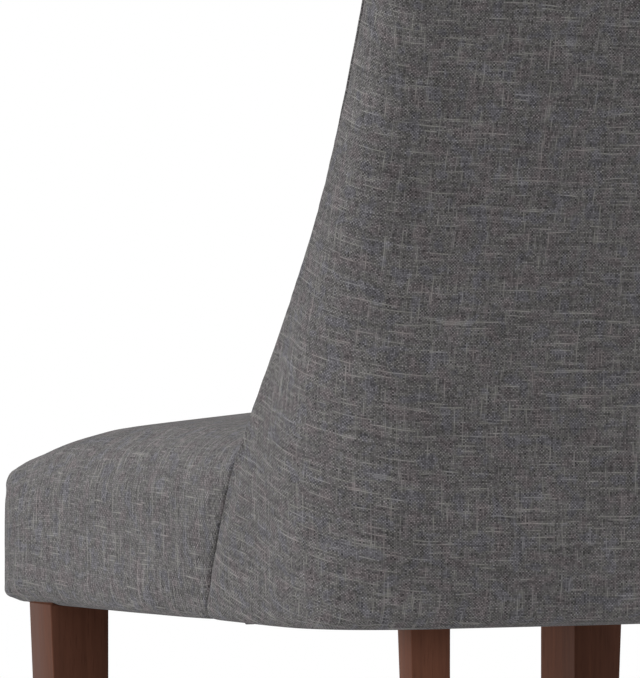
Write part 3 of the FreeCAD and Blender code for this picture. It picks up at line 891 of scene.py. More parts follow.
def roll_arcs():
    """Distance along the cloth from the flat top to each step of the roll's first half."""
    seat = seat_sizes()
    mean = (seat.roll_width + seat.roll_height) / 2
    return [mean * math.radians(45 * k / ROLL_STEPS) for k in range(ROLL_STEPS + 1)]


def wall_bulge(z):
    """Slight fullness of the seat's walls."""
    seat = seat_sizes()
    part = clamp((z - back_sizes().hem) / (seat.edge_height - seat.roll_height))
    return seat.belly * math.sin(math.pi * (BELLY_START + BELLY_RUN * part))


def wall_levels(top):
    """(height, inset, distance down the wall) from the roll's lower end to the turned-under edge."""
    hem, roll = back_sizes().hem, cloth_sizes().hem_roll
    levels = []
    for k in range(1, SIDE_LEVELS + 1):
        z = top + (hem + roll - top) * k / SIDE_LEVELS
        levels.append((z, 0.0, top - z))
    down = top - hem - roll
    for step in range(1, HEM_STEPS + 1):
        rise, inset, run = hem_turn(step)
        levels.append((hem + rise, inset, down + run))
    for inset in (*HEM_INSETS, cloth_sizes().hem_width):
        levels.append((hem, inset, down + roll * math.pi / 2 + inset - roll))
    return levels


def add_skirt(net, side, stations, top_row, top_threads, lengthwise, shared=None):
    """Roll and wall below one edge of the seat's top; shared gives its first column."""
    arcs = roll_arcs()
    rows, threads = [top_row], [top_threads]

    def add_row(spots, drop):
        row = [net.mirrored(side, spot) for spot in spots]
        if shared:
            row[0] = shared[len(rows)]
        rows.append(row)
        if lengthwise:
            threads.append([(u + side * drop, spot.y if station.run else v)
                            for (u, v), spot, station in zip(top_threads, spots, stations)])
        else:
            threads.append([(u, v - drop) for u, v in top_threads])

    for k, up in list(enumerate(roll_shares()))[-2::-1]:
        add_row([station.rolled(up) for station in stations], arcs[-1] - arcs[k])
    walls = [wall_levels(station.core.z) for station in stations]
    for k in range(len(walls[0])):
        add_row([station.hanging(*wall[k][:2]) for station, wall in zip(stations, walls)],
                arcs[-1] + walls[0][k][2])
    net.sheet(rows, threads)
    return rows, threads


def inward_ways():
    """Inward directions at the rear end of the seat's side, from its hem up to the flat top."""
    seat, shares = seat_sizes(), roll_shares()
    ways = [Vector((0, 0, 1))] * 3
    for step in range(HEM_STEPS, 0, -1):
        a = math.radians(90 * step / HEM_STEPS)
        ways.append(Vector((-math.cos(a), 0, math.sin(a))))
    ways += [Vector((-1, 0, 0))] * SIDE_LEVELS
    for x, up in [(1.0, up) for up in shares] + [(x, 1.0) for x in shares[-2:0:-1]]:
        way = roll_reach(x, 0.0, up)
        ways.append(-Vector((way.x / seat.roll_width ** 2, 0, way.z / seat.roll_height ** 2)).normalized())
    return ways


def add_tuck(net, side, edge, edge_threads):
    """Rolls the cloth's rear edge down into the gap between the seat and the back."""
    roll = seat_sizes().tuck_roll
    ways = inward_ways()
    ways += [Vector((0, 0, -1))] * (len(edge) - len(ways))
    spots = [Vector((side * net.points[k].x, net.points[k].y, net.points[k].z)) for k in edge]
    outs = []
    for k, way in enumerate(ways):
        out = way.cross(heading(spots, k))
        outs.append(out.normalized() if out.length > 1e-6 else Vector((0, 1, 0)))
    rows, threads = [list(edge)], [list(edge_threads)]
    steps = [(math.sin(a), 1 - math.cos(a), a) for a in map(math.radians, (30, 60, 90))]
    steps += [(1.0, 1.0 + deeper, math.pi / 2 + deeper) for deeper in TUCK_DEPTHS]
    for aside, inwards, turned in steps:
        row, places = [], []
        for spot, out, way, (u, v) in zip(spots, outs, ways, edge_threads):
            place = spot + (out * aside + way * inwards) * roll
            row.append(net.mirrored(side, place))
            across = out.x * abs(way.z) - out.z * abs(way.x)
            places.append((u + side * across * turned * roll, v + out.y * turned * roll))
        rows.append(row)
        threads.append(places)
    net.sheet(rows, threads)
    net.mark("pins", rows[-1])
    net.mark("pins", rows[-2])


def add_seat_half(net, side):
    """Left or right half of the seat's cover; side is 1 or -1."""
    before, between = seat_plan()
    shares, arcs = roll_shares(), roll_arcs()
    front = [Station(flat, (0.0, -1.0)) for flat in before[0]]
    front += [Station(before[0][-1], (share, -1.0)) for share in shares[1:]]
    first, last = before[0][-1].y, before[-1][-1].y
    flank = [Station(before[0][-1], (1.0, -share)) for share in shares[:0:-1]]
    flank += [Station(row[-1], (1.0, 0.0), max((row[-1].y - first) / (last - first), 1e-6)) for row in before]
    grid, threads = [], []

    def add_row(station, flats, y_share, y_arc):
        row, places = [], []
        for flat in flats:
            spot = Station(flat, (0.0, 0.0)).core + roll_reach(0.0, -y_share, 1.0)
            row.append(net.mirrored(side, spot))
            places.append((side * flat.x, flat.y - y_arc))
        for share, reach in zip(shares[1:], arcs[1:]):
            spot = station.beside_back(station.core + roll_reach(share, -y_share, 1.0))
            row.append(net.mirrored(side, spot))
            places.append((side * (station.flat.x + reach), spot.y if station.run else flats[-1].y - y_arc))
        grid.append(row)
        threads.append(places)

    for j in range(ROLL_STEPS, 0, -1):
        add_row(flank[ROLL_STEPS - j], before[0], shares[j], arcs[j])
    for station, flats in zip(flank[ROLL_STEPS:], before):
        add_row(station, flats, 0.0, 0.0)
    net.sheet(grid, threads)
    rear, rear_threads = [grid[-1][:MIDDLE_COLUMNS + 1]], [threads[-1][:MIDDLE_COLUMNS + 1]]
    for flats in between:
        rear.append([net.point((side * p.x, p.y, seat_top(p.x, p.y))) for p in flats])
        rear_threads.append([(side * p.x, p.y) for p in flats])
    net.sheet(rear, rear_threads)
    walls, _ = add_skirt(net, side, front, grid[0], threads[0], False)
    column = [row[-1] for row in grid]
    column_threads = [row[-1] for row in threads]
    flank_rows, flank_threads = add_skirt(net, side, flank, column, column_threads, True, [row[-1] for row in walls])
    net.mark("seam", [row[0] for row in flank_rows[ROLL_STEPS // 2:]])
    net.mark("pins", [row[0] for row in flank_rows] + flank_rows[-1] + walls[-1])
    edge = [row[-1] for row in flank_rows[::-1]] + grid[-1][-2:MIDDLE_COLUMNS - 1:-1]
    edge += [row[-1] for row in rear[1:]] + rear[-1][-2::-1]
    places = [row[-1] for row in flank_threads[::-1]] + threads[-1][-2:MIDDLE_COLUMNS - 1:-1]
    places += [row[-1] for row in rear_threads[1:]] + rear_threads[-1][-2::-1]
    net.mark("pins", edge)
    add_tuck(net, side, edge, places)


class ChairSeatCover(bpy.types.Operator):
    """Cloth over the domed seat, its front corners sewn and its rear edge tucked in beside the back"""
    bl_idname = "chair.seat_cover"
    bl_label = "Seat cover"

    def execute(self, context):
        cloth = cloth_sizes()
        net = Cloth()
        for side, _ in SIDES:
            add_seat_half(net, side)
        piece = net.piece("seat_upholstery")
        point_outwards(piece, WELD)
        settle(piece, "pins", cloth.pressure, cloth.cap)
        finish_cloth(piece, ("seat_cover", "seat_wadding", "seat_foam"))
        return {"FINISHED"}


# Materials


class Nodes:
    """Short calls that add the nodes of a material, or of the world, and join them."""

    def __init__(self, owner):
        owner.use_nodes = True
        self.tree = owner.node_tree
        self.tree.nodes.clear()

    def join(self, target, value):
        if isinstance(value, bpy.types.NodeSocket):
            self.tree.links.new(value, target)
        else:
            target.default_value = value

    def add(self, kind, inputs=None, **settings):
        node = self.tree.nodes.new(f"ShaderNode{kind}")
        for name, value in settings.items():
            setattr(node, name, value)
        for name, value in (inputs or {}).items():
            self.join(node.inputs[name], value)
        return node

    def math(self, operation, a, b=0.0):
        return self.add("Math", {0: a, 1: b}, operation=operation).outputs[0]

    def plus(self, a, b):
        return self.math("ADD", a, b)

    def times(self, a, b):
        return self.math("MULTIPLY", a, b)

    def between(self, value, low, high, start=0.0, end=1.0, smooth=False):
        kind = "SMOOTHSTEP" if smooth else "LINEAR"
        inputs = {0: value, 1: low, 2: high, 3: start, 4: end}
        return self.add("MapRange", inputs, interpolation_type=kind).outputs[0]

    def noise(self, vector, scale, detail=2.0, roughness=0.5, dimensions="3D"):
        inputs = {"Vector": vector, "Scale": scale, "Detail": detail, "Roughness": roughness}
        return self.add("TexNoise", inputs, noise_dimensions=dimensions).outputs["Fac"]

    def cells(self, vector, scale):
        return self.add("TexVoronoi", {"Vector": vector, "Scale": scale}).outputs["Distance"]

    def mix(self, factor, a, b, blend="MIX"):
        return self.add("Mix", {0: factor, 6: a, 7: b}, data_type="RGBA", blend_type=blend).outputs[2]

    def vector(self, x, y, z=0.0):
        return self.add("CombineXYZ", {0: x, 1: y, 2: z}).outputs[0]

    def place(self, grain=(1.0, 1.0, 1.0)):
        """Place on the piece, shrunk along the grain so that a pattern is drawn out there."""
        place = self.add("TexCoord").outputs["Object"]
        return self.add("Mapping", {"Vector": place, "Scale": grain}).outputs[0]

    def ramp(self, factor, stops):
        node = self.add("ValToRGB", {"Fac": factor})
        elements = node.color_ramp.elements
        while len(elements) < len(stops):
            elements.new(0.5)
        for element, (place, tint) in zip(elements, stops):
            element.position = place
            element.color = (*tint, 1.0)
        return node.outputs["Color"]

    def bump(self, height, distance, strength):
        return self.add("Bump", {"Height": height, "Distance": distance, "Strength": strength}).outputs["Normal"]

    def surface(self, tint, normal, rough, **settings):
        inputs = {"Base Color": tint, "Normal": normal, "Roughness": rough, **settings}
        shader = self.add("BsdfPrincipled", inputs).outputs[0]
        self.add("OutputMaterial", {0: shader})


made_materials = {}


def material(name, recipe, *details):
    """A material by name, made by its recipe the first time it is asked for."""
    if name not in made_materials:
        made_materials[name] = bpy.data.materials.new(name)
        recipe(Nodes(made_materials[name]), *details)
    return made_materials[name]


def toned(tint, factor=1.0):
    """A colour made darker or lighter, as a shader takes it."""
    return (*[min(c * factor, 1) for c in tint], 1)


def grey(level):
    return (level, level, level, 1.0)


def linen_cloth(n):
    """Heathered plain weave with pale slubs, drawn along the threads of each piece."""
    cloth = cloth_sizes()
    threads = n.add("UVMap", uv_map=THREADS).outputs[0]
    split = n.add("SeparateXYZ", {0: threads})
    wander = n.add("TexNoise", {"Vector": threads, "Scale": 35.0, "Detail": 2.0}, noise_dimensions="2D")
    sway = n.add("SeparateColor", {0: wander.outputs["Color"]})
    across = n.plus(split.outputs[0], n.between(sway.outputs[0], 0.0, 1.0, -0.0013, 0.0013))
    along = n.plus(split.outputs[1], n.between(sway.outputs[1], 0.0, 1.0, -0.0013, 0.0013))
    weft, warp = n.math("DIVIDE", along, cloth.weft_pitch), n.math("DIVIDE", across, cloth.warp_pitch)

    def thread(number, run, reach, seed):
        """Slow and quick changes of one thread's tone along its run."""
        own = n.add("TexWhiteNoise", {"W": n.plus(number, seed)}, noise_dimensions="1D")
        place = n.vector(n.math("DIVIDE", run, reach), n.times(number, 7.31), seed)
        offset = n.add("VectorMath", {0: place, 1: own.outputs["Color"]}, operation="ADD").outputs[0]
        faster = n.add("VectorMath", {0: offset, "Scale": 15.0}, operation="SCALE").outputs[0]
        return n.noise(offset, 1.0, 1.0), n.noise(faster, 1.0, 1.0), own.outputs["Value"]

    weft_slow, weft_quick, weft_own = thread(n.math("FLOOR", weft), across, 0.028, 0.0)
    warp_slow, warp_quick, warp_own = thread(n.math("FLOOR", warp), along, 0.020, 3.7)
    weft_slub = n.between(weft_slow, 0.58, 0.72, smooth=True)
    warp_slub = n.between(warp_slow, 0.60, 0.74, smooth=True)
    knot = n.vector(n.math("FLOOR", weft), n.math("FLOOR", warp))
    knot = n.add("TexWhiteNoise", {"Vector": knot}, noise_dimensions="2D").outputs["Value"]

    def wave(value):
        return n.math("SINE", n.times(value, math.pi))

    weft_round, warp_round = wave(n.math("FRACT", weft)), wave(n.math("FRACT", warp))
    crossing = n.times(wave(weft), wave(warp))
    over = n.between(crossing, -0.4, 0.4, smooth=True)
    over = n.math("MAXIMUM", over, n.times(weft_slub, 0.75))
    over = n.math("MINIMUM", over, n.math("SUBTRACT", 1.0, n.times(warp_slub, 0.7)))

    def yarn(slow, quick, own, slub, low, high):
        """Colour of the threads of one direction."""
        level = n.plus(n.times(quick, 0.7), n.times(slow, 0.55))
        level = n.plus(level, n.plus(n.times(own, 0.10), n.times(knot, 0.35)))
        tone = n.mix(n.between(level, 0.50, 1.20), toned(cloth.tint, low), toned(cloth.tint, high))
        return n.mix(n.times(slub, 0.7), tone, toned(cloth.slub))

    tint = n.mix(over, yarn(warp_slow, warp_quick, warp_own, warp_slub, 0.24, 1.36),
                 yarn(weft_slow, weft_quick, weft_own, weft_slub, 0.48, 2.05))
    cast = n.noise(threads, 75.0, 2.0, dimensions="2D")
    heather = n.ramp(cast, ((0.33, (1.05, 0.98, 0.98)), (0.44, (1.0, 1.0, 1.0)), (0.54, (0.99, 1.02, 0.95)),
                            (0.66, (0.96, 0.99, 1.07))))
    tint = n.mix(0.8, tint, heather, "MULTIPLY")

    def bands(wide, long):
        return n.noise(n.vector(n.times(across, wide), n.times(along, long)), 1.0)

    cloud = n.between(n.noise(threads, 9.0, 2.0, dimensions="2D"), 0.25, 0.75, 0.94, 1.06)
    cloud = n.times(cloud, n.between(bands(22.0, 330.0), 0.3, 0.7, 0.86, 1.14))
    cloud = n.times(cloud, n.between(bands(300.0, 30.0), 0.3, 0.7, 0.89, 1.11))
    body = n.plus(n.times(over, weft_round), n.times(n.math("SUBTRACT", 1.0, over), warp_round))
    # Painted shade in the gaps between the threads, darker where each thread rounds down, times the cloth's own
    # mottling and streaks
    shade = n.times(cloud, n.between(body, 0.0, 0.9, 0.50, 1.05))
    tint = n.mix(1.0, tint, n.vector(shade, shade, shade), "MULTIPLY")
    fibre = n.noise(threads, 2600.0, 2.0, dimensions="2D")
    normal = n.bump(n.plus(body, n.times(fibre, 0.35)), 0.0004, 0.7)
    sheen = {"Specular IOR Level": 0.15, "Sheen Weight": 0.06, "Sheen Roughness": 0.5}
    n.surface(tint, normal, 0.92, **sheen)


def stained_wood(n, tone=1.0):
    """Satin walnut-brown stain over a fine straight grain that runs along the legs."""
    # tone above 1 paints light: it lightens the stain of the rear legs, standing in for light falling on them
    stain = [c * tone for c in leg_sizes().stain]
    place = n.place((1.0, 1.0, 0.055))
    drift = n.noise(place, 40.0, 3.0, 0.6)
    bands = n.noise(place, 150.0, 4.0, 0.65)
    pores = n.noise(place, 900.0, 2.0, 0.6)
    tint = n.mix(n.between(bands, 0.3, 0.7), toned(stain, 0.72), toned(stain, 1.25))
    tint = n.mix(n.between(drift, 0.35, 0.7, 0.0, 0.55), tint, toned(stain))
    tint = n.mix(n.between(pores, 0.58, 0.72, 0.0, 0.45), tint, toned(stain, 0.45))
    normal = n.bump(n.plus(pores, bands), 0.0001, 0.45)
    n.surface(tint, normal, n.between(bands, 0.3, 0.7, 0.40, 0.52), **{"Specular IOR Level": 0.06})


HARDWOOD = (0.62, 0.43, 0.24)
ALONG_X, ALONG_Y, ALONG_Z = (0.07, 1.0, 1.0), (1.0, 0.07, 1.0), (1.0, 1.0, 0.07)


def plain_timber(n, tint, grain):
    """Sawn wood of the hidden frame."""
    place = n.place(grain)
    rings = n.noise(place, 110.0, 4.0, 0.6)
    flecks = n.noise(place, 700.0, 2.0, 0.6)
    shade = n.mix(n.between(rings, 0.3, 0.7), toned(tint, 0.72), toned(tint, 1.15))
    shade = n.mix(n.between(flecks, 0.6, 0.75, 0.0, 0.4), shade, toned(tint, 0.5))
    n.surface(shade, n.bump(n.plus(rings, flecks), 0.0003, 0.5), 0.62)


def foam(n, tint):
    """Open-celled padding."""
    cloud = n.noise(n.place(), 14.0, 3.0)
    shade = n.mix(n.between(cloud, 0.3, 0.7), toned(tint, 0.9), toned(tint))
    n.surface(shade, n.bump(n.cells(n.place(), 700.0), 0.0006, 0.6), 0.95)


WEB_PITCH = (0.0032, 0.0024)


def webbing(n):
    """Woven elastic strap."""
    split = n.add("SeparateXYZ", {0: n.place()})
    ribs, picks = [n.math("SINE", n.times(split.outputs[k], 2 * math.pi / pitch)) for k, pitch in enumerate(WEB_PITCH)]
    weave = n.times(ribs, picks)
    shade = n.mix(n.between(weave, -1.0, 1.0), toned((0.30, 0.25, 0.17)), toned((0.52, 0.45, 0.33)))
    n.surface(shade, n.bump(weave, 0.0004, 0.6), 0.9)


def felt_cloth(n):
    """Thin black non-woven cloth under the seat."""
    fibres = n.noise(n.place(), 1400.0, 3.0, 0.7)
    shade = n.mix(n.between(fibres, 0.3, 0.75), toned((0.012, 0.012, 0.012)), toned((0.045, 0.045, 0.046)))
    n.surface(shade, n.bump(n.cells(n.place(), 420.0), 0.0003, 0.5), 0.9)


def zinc(n):
    """Bright zinc-plated steel."""
    smear = n.noise(n.place(), 240.0, 3.0)
    shade = n.mix(n.between(smear, 0.3, 0.7), toned((0.52, 0.53, 0.55)), toned((0.68, 0.68, 0.66)))
    n.surface(shade, n.bump(smear, 0.0001, 0.4), 0.32, Metallic=1.0)


def nylon(n):
    """Dark moulded nylon with a fine grain."""
    grain = n.noise(n.place(), 1600.0)
    shade = n.mix(n.between(grain, 0.3, 0.7), toned((0.018, 0.016, 0.015)), toned((0.032, 0.029, 0.027)))
    n.surface(shade, n.bump(grain, 0.00008, 0.5), 0.5)


def pale_floor(n):
    """Pale floor that keeps the chair's shadow and turns to plain white away from it."""
    place = n.place()
    away = n.add("VectorMath", {0: place}, operation="LENGTH").outputs["Value"]
    normal = n.bump(n.noise(place, 60.0, 3.0), 0.0004, 0.2)
    near = n.add("BsdfPrincipled", {"Base Color": grey(0.80), "Roughness": 0.8, "Normal": normal}).outputs[0]
    far = n.add("Emission", {"Color": grey(1.0), "Strength": 1.0}).outputs[0]
    path = n.add("LightPath").outputs
    seen = n.math("MAXIMUM", path["Is Camera Ray"], path["Is Glossy Ray"])
    seen = n.math("MAXIMUM", seen, path["Is Transmission Ray"])
    fade = n.times(n.between(away, 0.7, 2.4, smooth=True), seen)
    n.add("OutputMaterial", {0: n.add("MixShader", {0: fade, 1: near, 2: far}).outputs[0]})


def studio(n, ambient):
    """Even light from all round, and a white background for the camera."""
    even, white = [n.add("Background", {0: grey(1.0), 1: strength}).outputs[0] for strength in (ambient, 1.0)]
    seen = n.add("LightPath").outputs["Is Camera Ray"]
    n.add("OutputWorld", {0: n.add("MixShader", {0: seen, 1: even, 2: white}).outputs[0]})


# Words in a node's name, words that may not be in it, and its material; the first row that fits counts
FINISHES = (
    (("wing_board",), ("screws",), ("plywood", plain_timber, (0.66, 0.48, 0.29), ALONG_Y)),
    (("post",), ("dowel",), ("timber upright", plain_timber, HARDWOOD, ALONG_Z)),
    (("side_rail",), ("dowel",), ("timber lengthwise", plain_timber, HARDWOOD, ALONG_Y)),
    (("rail", "dowel"), (), ("timber", plain_timber, HARDWOOD, ALONG_X)),
    (("block",), ("screw",), ("timber", plain_timber, HARDWOOD, ALONG_X)),
    (("foam", "pad"), (), ("foam", foam, (0.72, 0.66, 0.45))),
    (("wadding",), (), ("wadding", foam, (0.78, 0.78, 0.75))),
    (("web",), (), ("webbing", webbing)),
    (("dust_cover",), ("staples",), ("felt cloth", felt_cloth)),
    (("glide",), (), ("nylon", nylon)),
    (("leg",), ("bolt", "nut"), ("stained wood", stained_wood)),
    (("",), (), ("zinc", zinc)),
)


class ChairFrameFinish(bpy.types.Operator):
    """Finishes of the frame, webbing, foam and fasteners inside the chair"""
    bl_idname = "chair.frame_finish"
    bl_label = "Frame finishes"

    def execute(self, context):
        for node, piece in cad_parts.items():
            dress(piece, material(*next(made for words, barred, made in FINISHES
                                        if any(w in node for w in words) and not any(w in node for w in barred))))
        return {"FINISHED"}


# Legs, glides and the sheet under the seat

# Painted light: the rear legs' stain is made this much lighter to stand in for light that reaches them
REAR_PAINTED_LIGHT = 1.35
HEM_RING = 0.0018
TOUCHING = 0.001
LEG_RINGS = 12
ANKLE_SHARE = 0.2
SWEEP_POWER = 1.9
GLIDE_INSET = 0.002
GLIDE_SIDES = 48
SIDE_STAPLES = (-0.19, 0.1)
FRONT_STAPLES = range(-4, 5)
REAR_STAPLES = range(-3, 4)
BEVEL_ANGLE = 40
SHADE_ANGLE = 35
GLIDE_ARRIS = 0.0012
SHEET_CORNER = 0.018
FLANK_CLEAR = 0.01
FLANK_REACH = 0.02
SHEET_ROWS = 32
SHEET_COLUMNS = 16
SHEET_CLEAR = 0.0004
STAPLE_CLEAR = 0.0006
STAPLE_PITCH = 0.048
STAPLE_EDGE = 0.006
STAPLE_ARRIS = 0.0002
HALF_CROWN = 0.005
HALF_WIRE = 0.0006
CROWN_RISE = 0.0008


def smooth_edges(piece, width, segments=3):
    bevel = piece.modifiers.new("arris", "BEVEL")
    bevel.width = width
    bevel.segments = segments
    bevel.limit_method = "ANGLE"
    bevel.angle_limit = math.radians(BEVEL_ANGLE)
    apply_modifiers(piece)
    select_only(piece)
    bpy.ops.object.shade_smooth_by_angle(angle=math.radians(SHADE_ANGLE))


def add_block(name, low, high):
    """Cube set to a box's corners, its place in its mesh."""
    bpy.ops.object.select_all(action="DESELECT")
    bpy.ops.mesh.primitive_cube_add(size=1.0, location=(Vector(low) + Vector(high)) / 2)
    piece = bpy.context.object
    piece.name = name
    piece.scale = Vector(high) - Vector(low)
    bpy.ops.object.transform_apply(location=True, rotation=True, scale=True)
    return piece


def cut_levels(piece, levels):
    """Rings of new edges round a piece at these heights."""
    with editing(piece):
        for z in levels:
            bpy.ops.mesh.select_all(action="SELECT")
            bpy.ops.mesh.bisect(plane_co=(0, 0, z), plane_no=(0, 0, 1))


def joined(name, pieces):
    bpy.ops.object.select_all(action="DESELECT")
    for piece in pieces:
        piece.select_set(True)
    bpy.context.view_layer.objects.active = pieces[0]
    bpy.ops.object.join()
    pieces[0].name = name
    return pieces[0]


def dress(piece, made):
    piece.data.materials.clear()
    piece.data.materials.append(made)


def wear(piece, nodes, made):
    """Gives a piece its material, hangs it from the chair's root empty and hides the nodes it stands for."""
    dress(piece, made)
    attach(piece, "root")
    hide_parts(*nodes)


class ChairFrontLegs(bpy.types.Operator):
    """Square front legs, turned a little outwards, whose outer faces taper to the floor"""
    bl_idname = "chair.front_legs"
    bl_label = "Front legs"

    def execute(self, context):
        legs, top = leg_sizes(), back_sizes().hem
        for side, word in SIDES:
            node = f"front_{word}_leg"
            low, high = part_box(node)
            piece = add_block(f"{node}_wood", low, high)
            cut_levels(piece, (top, top + HEM_RING))
            middle = (low + high) / 2
            middle_seen = middle.xy + Vector((side * legs.front_out, legs.front_back))
            broad = legs.front_width / (high.x - low.x)
            inner, outer = (low.x, high.x) if side == 1 else (high.x, low.x)
            turn = Matrix.Rotation(-side * legs.front_turn, 3, "Z")
            for vertex in piece.data.vertices:
                if vertex.co.z < low.z + TOUCHING and abs(vertex.co.x - outer) < TOUCHING:
                    vertex.co.x = inner + side * legs.front_foot
                if vertex.co.z < top + TOUCHING:
                    spot = (vertex.co - middle) * broad
                    vertex.co.xy = (turn @ spot).xy + middle_seen
            smooth_edges(piece, legs.arris)
            wear(piece, [node], material("stained wood", stained_wood))
        return {"FINISHED"}


class ChairRearLegs(bpy.types.Operator):
    """Rear legs that sweep back towards the floor"""
    bl_idname = "chair.rear_legs"
    bl_label = "Rear legs"

    def execute(self, context):
        legs, top = leg_sizes(), back_sizes().hem
        turn = legs.rear_turn
        for side, word in SIDES:
            node = f"rear_{word}_leg"
            low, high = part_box(node)
            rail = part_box("rear_rail")[0].y
            x = legs.rear_spacing / 2
            y = rail - (legs.rear_depth * math.cos(turn) + legs.rear_width * math.sin(turn)) / 2
            half, deep = legs.rear_width / 2, legs.rear_depth / 2
            piece = add_block(f"{node}_wood", (-half, -deep, low.z), (half, deep, high.z))
            cut_levels(piece, [low.z + (top - low.z) * k / LEG_RINGS for k in range(1, LEG_RINGS + 1)])
            for vertex in piece.data.vertices:
                down = clamp((top - vertex.co.z) / (top - low.z))
                depth = legs.rear_foot + (legs.rear_depth - legs.rear_foot) * math.exp(-down / ANKLE_SHARE)
                width = legs.rear_width + (legs.rear_foot - legs.rear_width) * down
                back = deep + legs.sweep * down ** SWEEP_POWER
                along = math.copysign(width / 2, vertex.co.x)
                away = back if vertex.co.y > 0 else back - depth
                vertex.co.x = side * (x + along * math.cos(turn) + away * math.sin(turn))
                vertex.co.y = y - along * math.sin(turn) + away * math.cos(turn)
            point_outwards(piece)
            smooth_edges(piece, legs.arris)
            # The rear legs wear a lighter copy of the stain, painted light
            wear(piece, [node], material("rear leg wood", stained_wood, REAR_PAINTED_LIGHT))
        return {"FINISHED"}


class ChairGlides(bpy.types.Operator):
    """Round floor glides with softened edges, one under each leg"""
    bl_idname = "chair.glides"
    bl_label = "Floor glides"

    def execute(self, context):
        legs = leg_sizes()
        radius, depth = legs.glide_radius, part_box("front_left_leg")[0].z
        low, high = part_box("floor_glides")
        feet = [(side * (high.x - radius), low.y + radius) for side, _ in SIDES]
        rear_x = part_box("rear_left_leg")[1].x - legs.rear_foot / 2 - GLIDE_INSET
        feet += [(side * rear_x, high.y - radius) for side, _ in SIDES]
        discs = []
        for x, y in feet:
            bpy.ops.object.select_all(action="DESELECT")
            centre = (x, y, depth / 2)
            bpy.ops.mesh.primitive_cylinder_add(vertices=GLIDE_SIDES, radius=radius, depth=depth, location=centre)
            bpy.ops.object.transform_apply(location=True, rotation=True, scale=True)
            discs.append(bpy.context.object)
            smooth_edges(discs[-1], GLIDE_ARRIS)
        wear(joined("glides", discs), ["floor_glides"], material("nylon", nylon))
        return {"FINISHED"}


def sheet_outline(inset):
    """Left half of the sheet under the chair: its front, side and rear edges as three lines."""
    seat, back = seat_sizes(), back_sizes()
    front = -seat.front + inset
    wide = side_line(front) - inset
    rounding = arc((wide - SHEET_CORNER, front + SHEET_CORNER), SHEET_CORNER, -90, 0)
    join = Vector((side_line(seat.seam_setback - seat.front) - inset, rear_line(back.hem) - side_depth(back.hem)))
    rear = outer_line(back.hem, inset)
    flank = [p for p in rear if p.y > join.y + FLANK_CLEAR and p.x > back.foot_width / 2 - inset - FLANK_REACH]
    rest = [p for p in rear if p.y > flank[-1].y]
    half = len(rounding) // 2
    return [Vector((0, front))] + rounding[:half + 1], rounding[half:] + [join] + flank, [flank[-1]] + rest


class ChairDustSheet(bpy.types.Operator):
    """Thin black cloth stretched under the frame, sagging a little; the legs pass through it"""
    bl_idname = "chair.dust_sheet"
    bl_label = "Dust sheet"

    def execute(self, context):
        under = leg_sizes()
        front, flank, rear = sheet_outline(under.sheet_inset)
        thick = under.sheet_thickness
        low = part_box("dust_cover")[0].z + SHEET_CLEAR
        net = Cloth()
        edges = (stretch(front, 0, len(front) - 1), stretch(rear, len(rear) - 1, 0), straight(front[0], rear[-1]),
                 stretch(flank, 0, len(flank) - 1))
        for side, _ in SIDES:
            grid = []
            for v in [j / SHEET_ROWS for j in range(SHEET_ROWS + 1)]:
                row = []
                for u in [i / SHEET_COLUMNS for i in range(SHEET_COLUMNS + 1)]:
                    spot = coons(*edges, u, v)
                    sag = under.sheet_sag * (1 - u ** 2) * math.sin(math.pi * v)
                    row.append(net.point((side * spot.x, spot.y, low + thick - sag)))
                grid.append(row)
            net.sheet(grid, [[(net.points[k].x, net.points[k].y) for k in row] for row in grid])
        piece = net.piece("dust_sheet")
        point_outwards(piece, WELD)
        wall = piece.modifiers.new("sheet", "SOLIDIFY")
        wall.thickness = thick
        wall.offset = 0.0
        apply_modifiers(piece)
        wear(piece, ["dust_cover"], material("felt cloth", felt_cloth))
        return {"FINISHED"}


class ChairStaples(bpy.types.Operator):
    """Staples along the edge of the sheet under the chair"""
    bl_idname = "chair.staples"
    bl_label = "Staples"

    def execute(self, context):
        under, seat = leg_sizes(), seat_sizes()
        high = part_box("dust_cover_staples")[1]
        inset = under.sheet_inset + STAPLE_EDGE
        places = [(k * STAPLE_PITCH, -seat.front + inset, True) for k in FRONT_STAPLES]
        y, end = SIDE_STAPLES
        while y < end:
            places += [(side * (side_line(y) - inset), y, False) for side, _ in SIDES]
            y += STAPLE_PITCH
        places += [(k * STAPLE_PITCH, high.y - STAPLE_EDGE, True) for k in REAR_STAPLES]
        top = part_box("dust_cover")[0].z + STAPLE_CLEAR
        staples = []
        for x, y, level in places:
            a, b = (HALF_CROWN, HALF_WIRE) if level else (HALF_WIRE, HALF_CROWN)
            piece = add_block("staple", (x - a, y - b, top - CROWN_RISE), (x + a, y + b, top))
            smooth_edges(piece, STAPLE_ARRIS, 2)
            staples.append(piece)
        wear(joined("staples", staples), ["dust_cover_staples"], material("zinc", zinc))
        return {"FINISHED"}


# Stage

LAMPS = (
    ("key", (3.0, -1.1, 0.62), (1.8, 1.0)),
    ("overhead", (0.3, 0.3, 3.2), (2.2, 2.2)),
    ("fill", (1.2, 5.0, 2.2), (2.5, 2.5)),
)
LAMP_AIM = Vector((0, 0, 0.40))
FLOOR_RADIUS = 9.0
FLOOR_SIDES = 96
CAMERA_PLACE = (2.048, 3.597, 0.5576)
CAMERA_TURN_ANGLE = 28.0
CAMERA_DIP_ANGLE = 0.277


def put_up(thing, place, way):
    """Lamp or camera at a place, pointing one way."""
    holder = bpy.data.objects.new(thing.name, thing)
    bpy.context.scene.collection.objects.link(holder)
    holder.location = place
    holder.rotation_euler = way.to_track_quat("-Z", "Y").to_euler()
    return holder


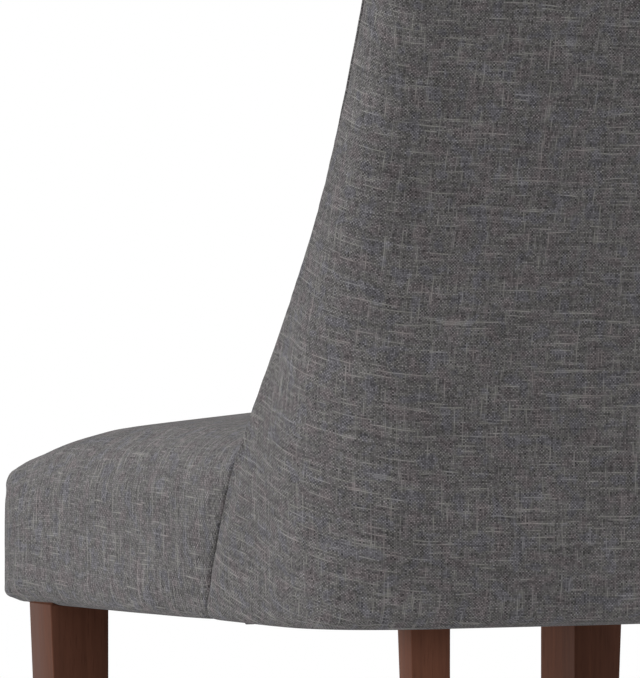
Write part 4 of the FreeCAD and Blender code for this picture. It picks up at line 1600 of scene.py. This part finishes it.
class ChairStage(bpy.types.Operator):
    """Pale floor, soft lamps and the camera"""
    bl_idname = "chair.stage"
    bl_label = "Stage"

    def execute(self, context):
        look = context.scene.chair_stage
        scene = context.scene
        scene.view_settings.view_transform = "Standard"
        scene.world = bpy.data.worlds.new("studio")
        studio(Nodes(scene.world), look.ambient)
        bpy.ops.object.select_all(action="DESELECT")
        bpy.ops.mesh.primitive_circle_add(vertices=FLOOR_SIDES, radius=FLOOR_RADIUS, fill_type="NGON")
        floor = context.object
        floor.name = "floor"
        floor.data.materials.append(material("pale floor", pale_floor))
        for name, place, size in LAMPS:
            lamp = bpy.data.lights.new(f"{name} lamp", "AREA")
            lamp.shape = "RECTANGLE"
            lamp.size, lamp.size_y = size
            lamp.energy = getattr(look, name)
            put_up(lamp, place, LAMP_AIM - Vector(place))
        camera = bpy.data.cameras.new("camera")
        camera.lens = look.focal
        camera.sensor_width = 36.0
        camera.clip_end = 100.0
        turn, dip = math.radians(CAMERA_TURN_ANGLE), math.radians(CAMERA_DIP_ANGLE)
        way = Vector((-math.sin(turn), -math.cos(turn), -math.tan(dip)))
        scene.camera = put_up(camera, CAMERA_PLACE, way)
        return {"FINISHED"}


class ChairPanel(bpy.types.Panel):
    """Lists the chair's pieces and their sizes in the sidebar"""
    bl_idname = "VIEW3D_PT_chair"
    bl_label = "Parsons chair"
    bl_space_type = "VIEW_3D"
    bl_region_type = "UI"
    bl_category = "Chair"

    def draw(self, context):
        for step in STEPS:
            self.layout.operator(step)
        for group in GROUPS:
            owner = getattr(context.scene, group)
            for name in owner.bl_rna.properties.keys():
                if name not in ("rna_type", "name"):
                    self.layout.prop(owner, name)


GROUPS = {
    "chair_back": ChairBackSizes,
    "chair_seat": ChairSeatSizes,
    "chair_cloth": ChairClothSizes,
    "chair_legs": ChairLegSizes,
    "chair_stage": ChairStageLook,
}
OPERATORS = (ChairFrameFinish, ChairFrontLegs, ChairRearLegs, ChairGlides, ChairBackCovers, ChairSeatCover,
             ChairDustSheet, ChairStaples, ChairStage)
STEPS = [operator.bl_idname for operator in OPERATORS]


def register():
    for group in GROUPS.values():
        bpy.utils.register_class(group)
    for operator in OPERATORS:
        bpy.utils.register_class(operator)
    bpy.utils.register_class(ChairPanel)
    for name, group in GROUPS.items():
        setattr(bpy.types.Scene, name, PointerProperty(type=group))


def unregister():
    for name in GROUPS:
        delattr(bpy.types.Scene, name)
    bpy.utils.unregister_class(ChairPanel)
    for operator in reversed(OPERATORS):
        bpy.utils.unregister_class(operator)
    for group in reversed(list(GROUPS.values())):
        bpy.utils.unregister_class(group)


def main():
    register()
    for step in STEPS:
        area, name = step.split(".")
        getattr(getattr(bpy.ops, area), name)()


if __name__ == "__main__":
    main()
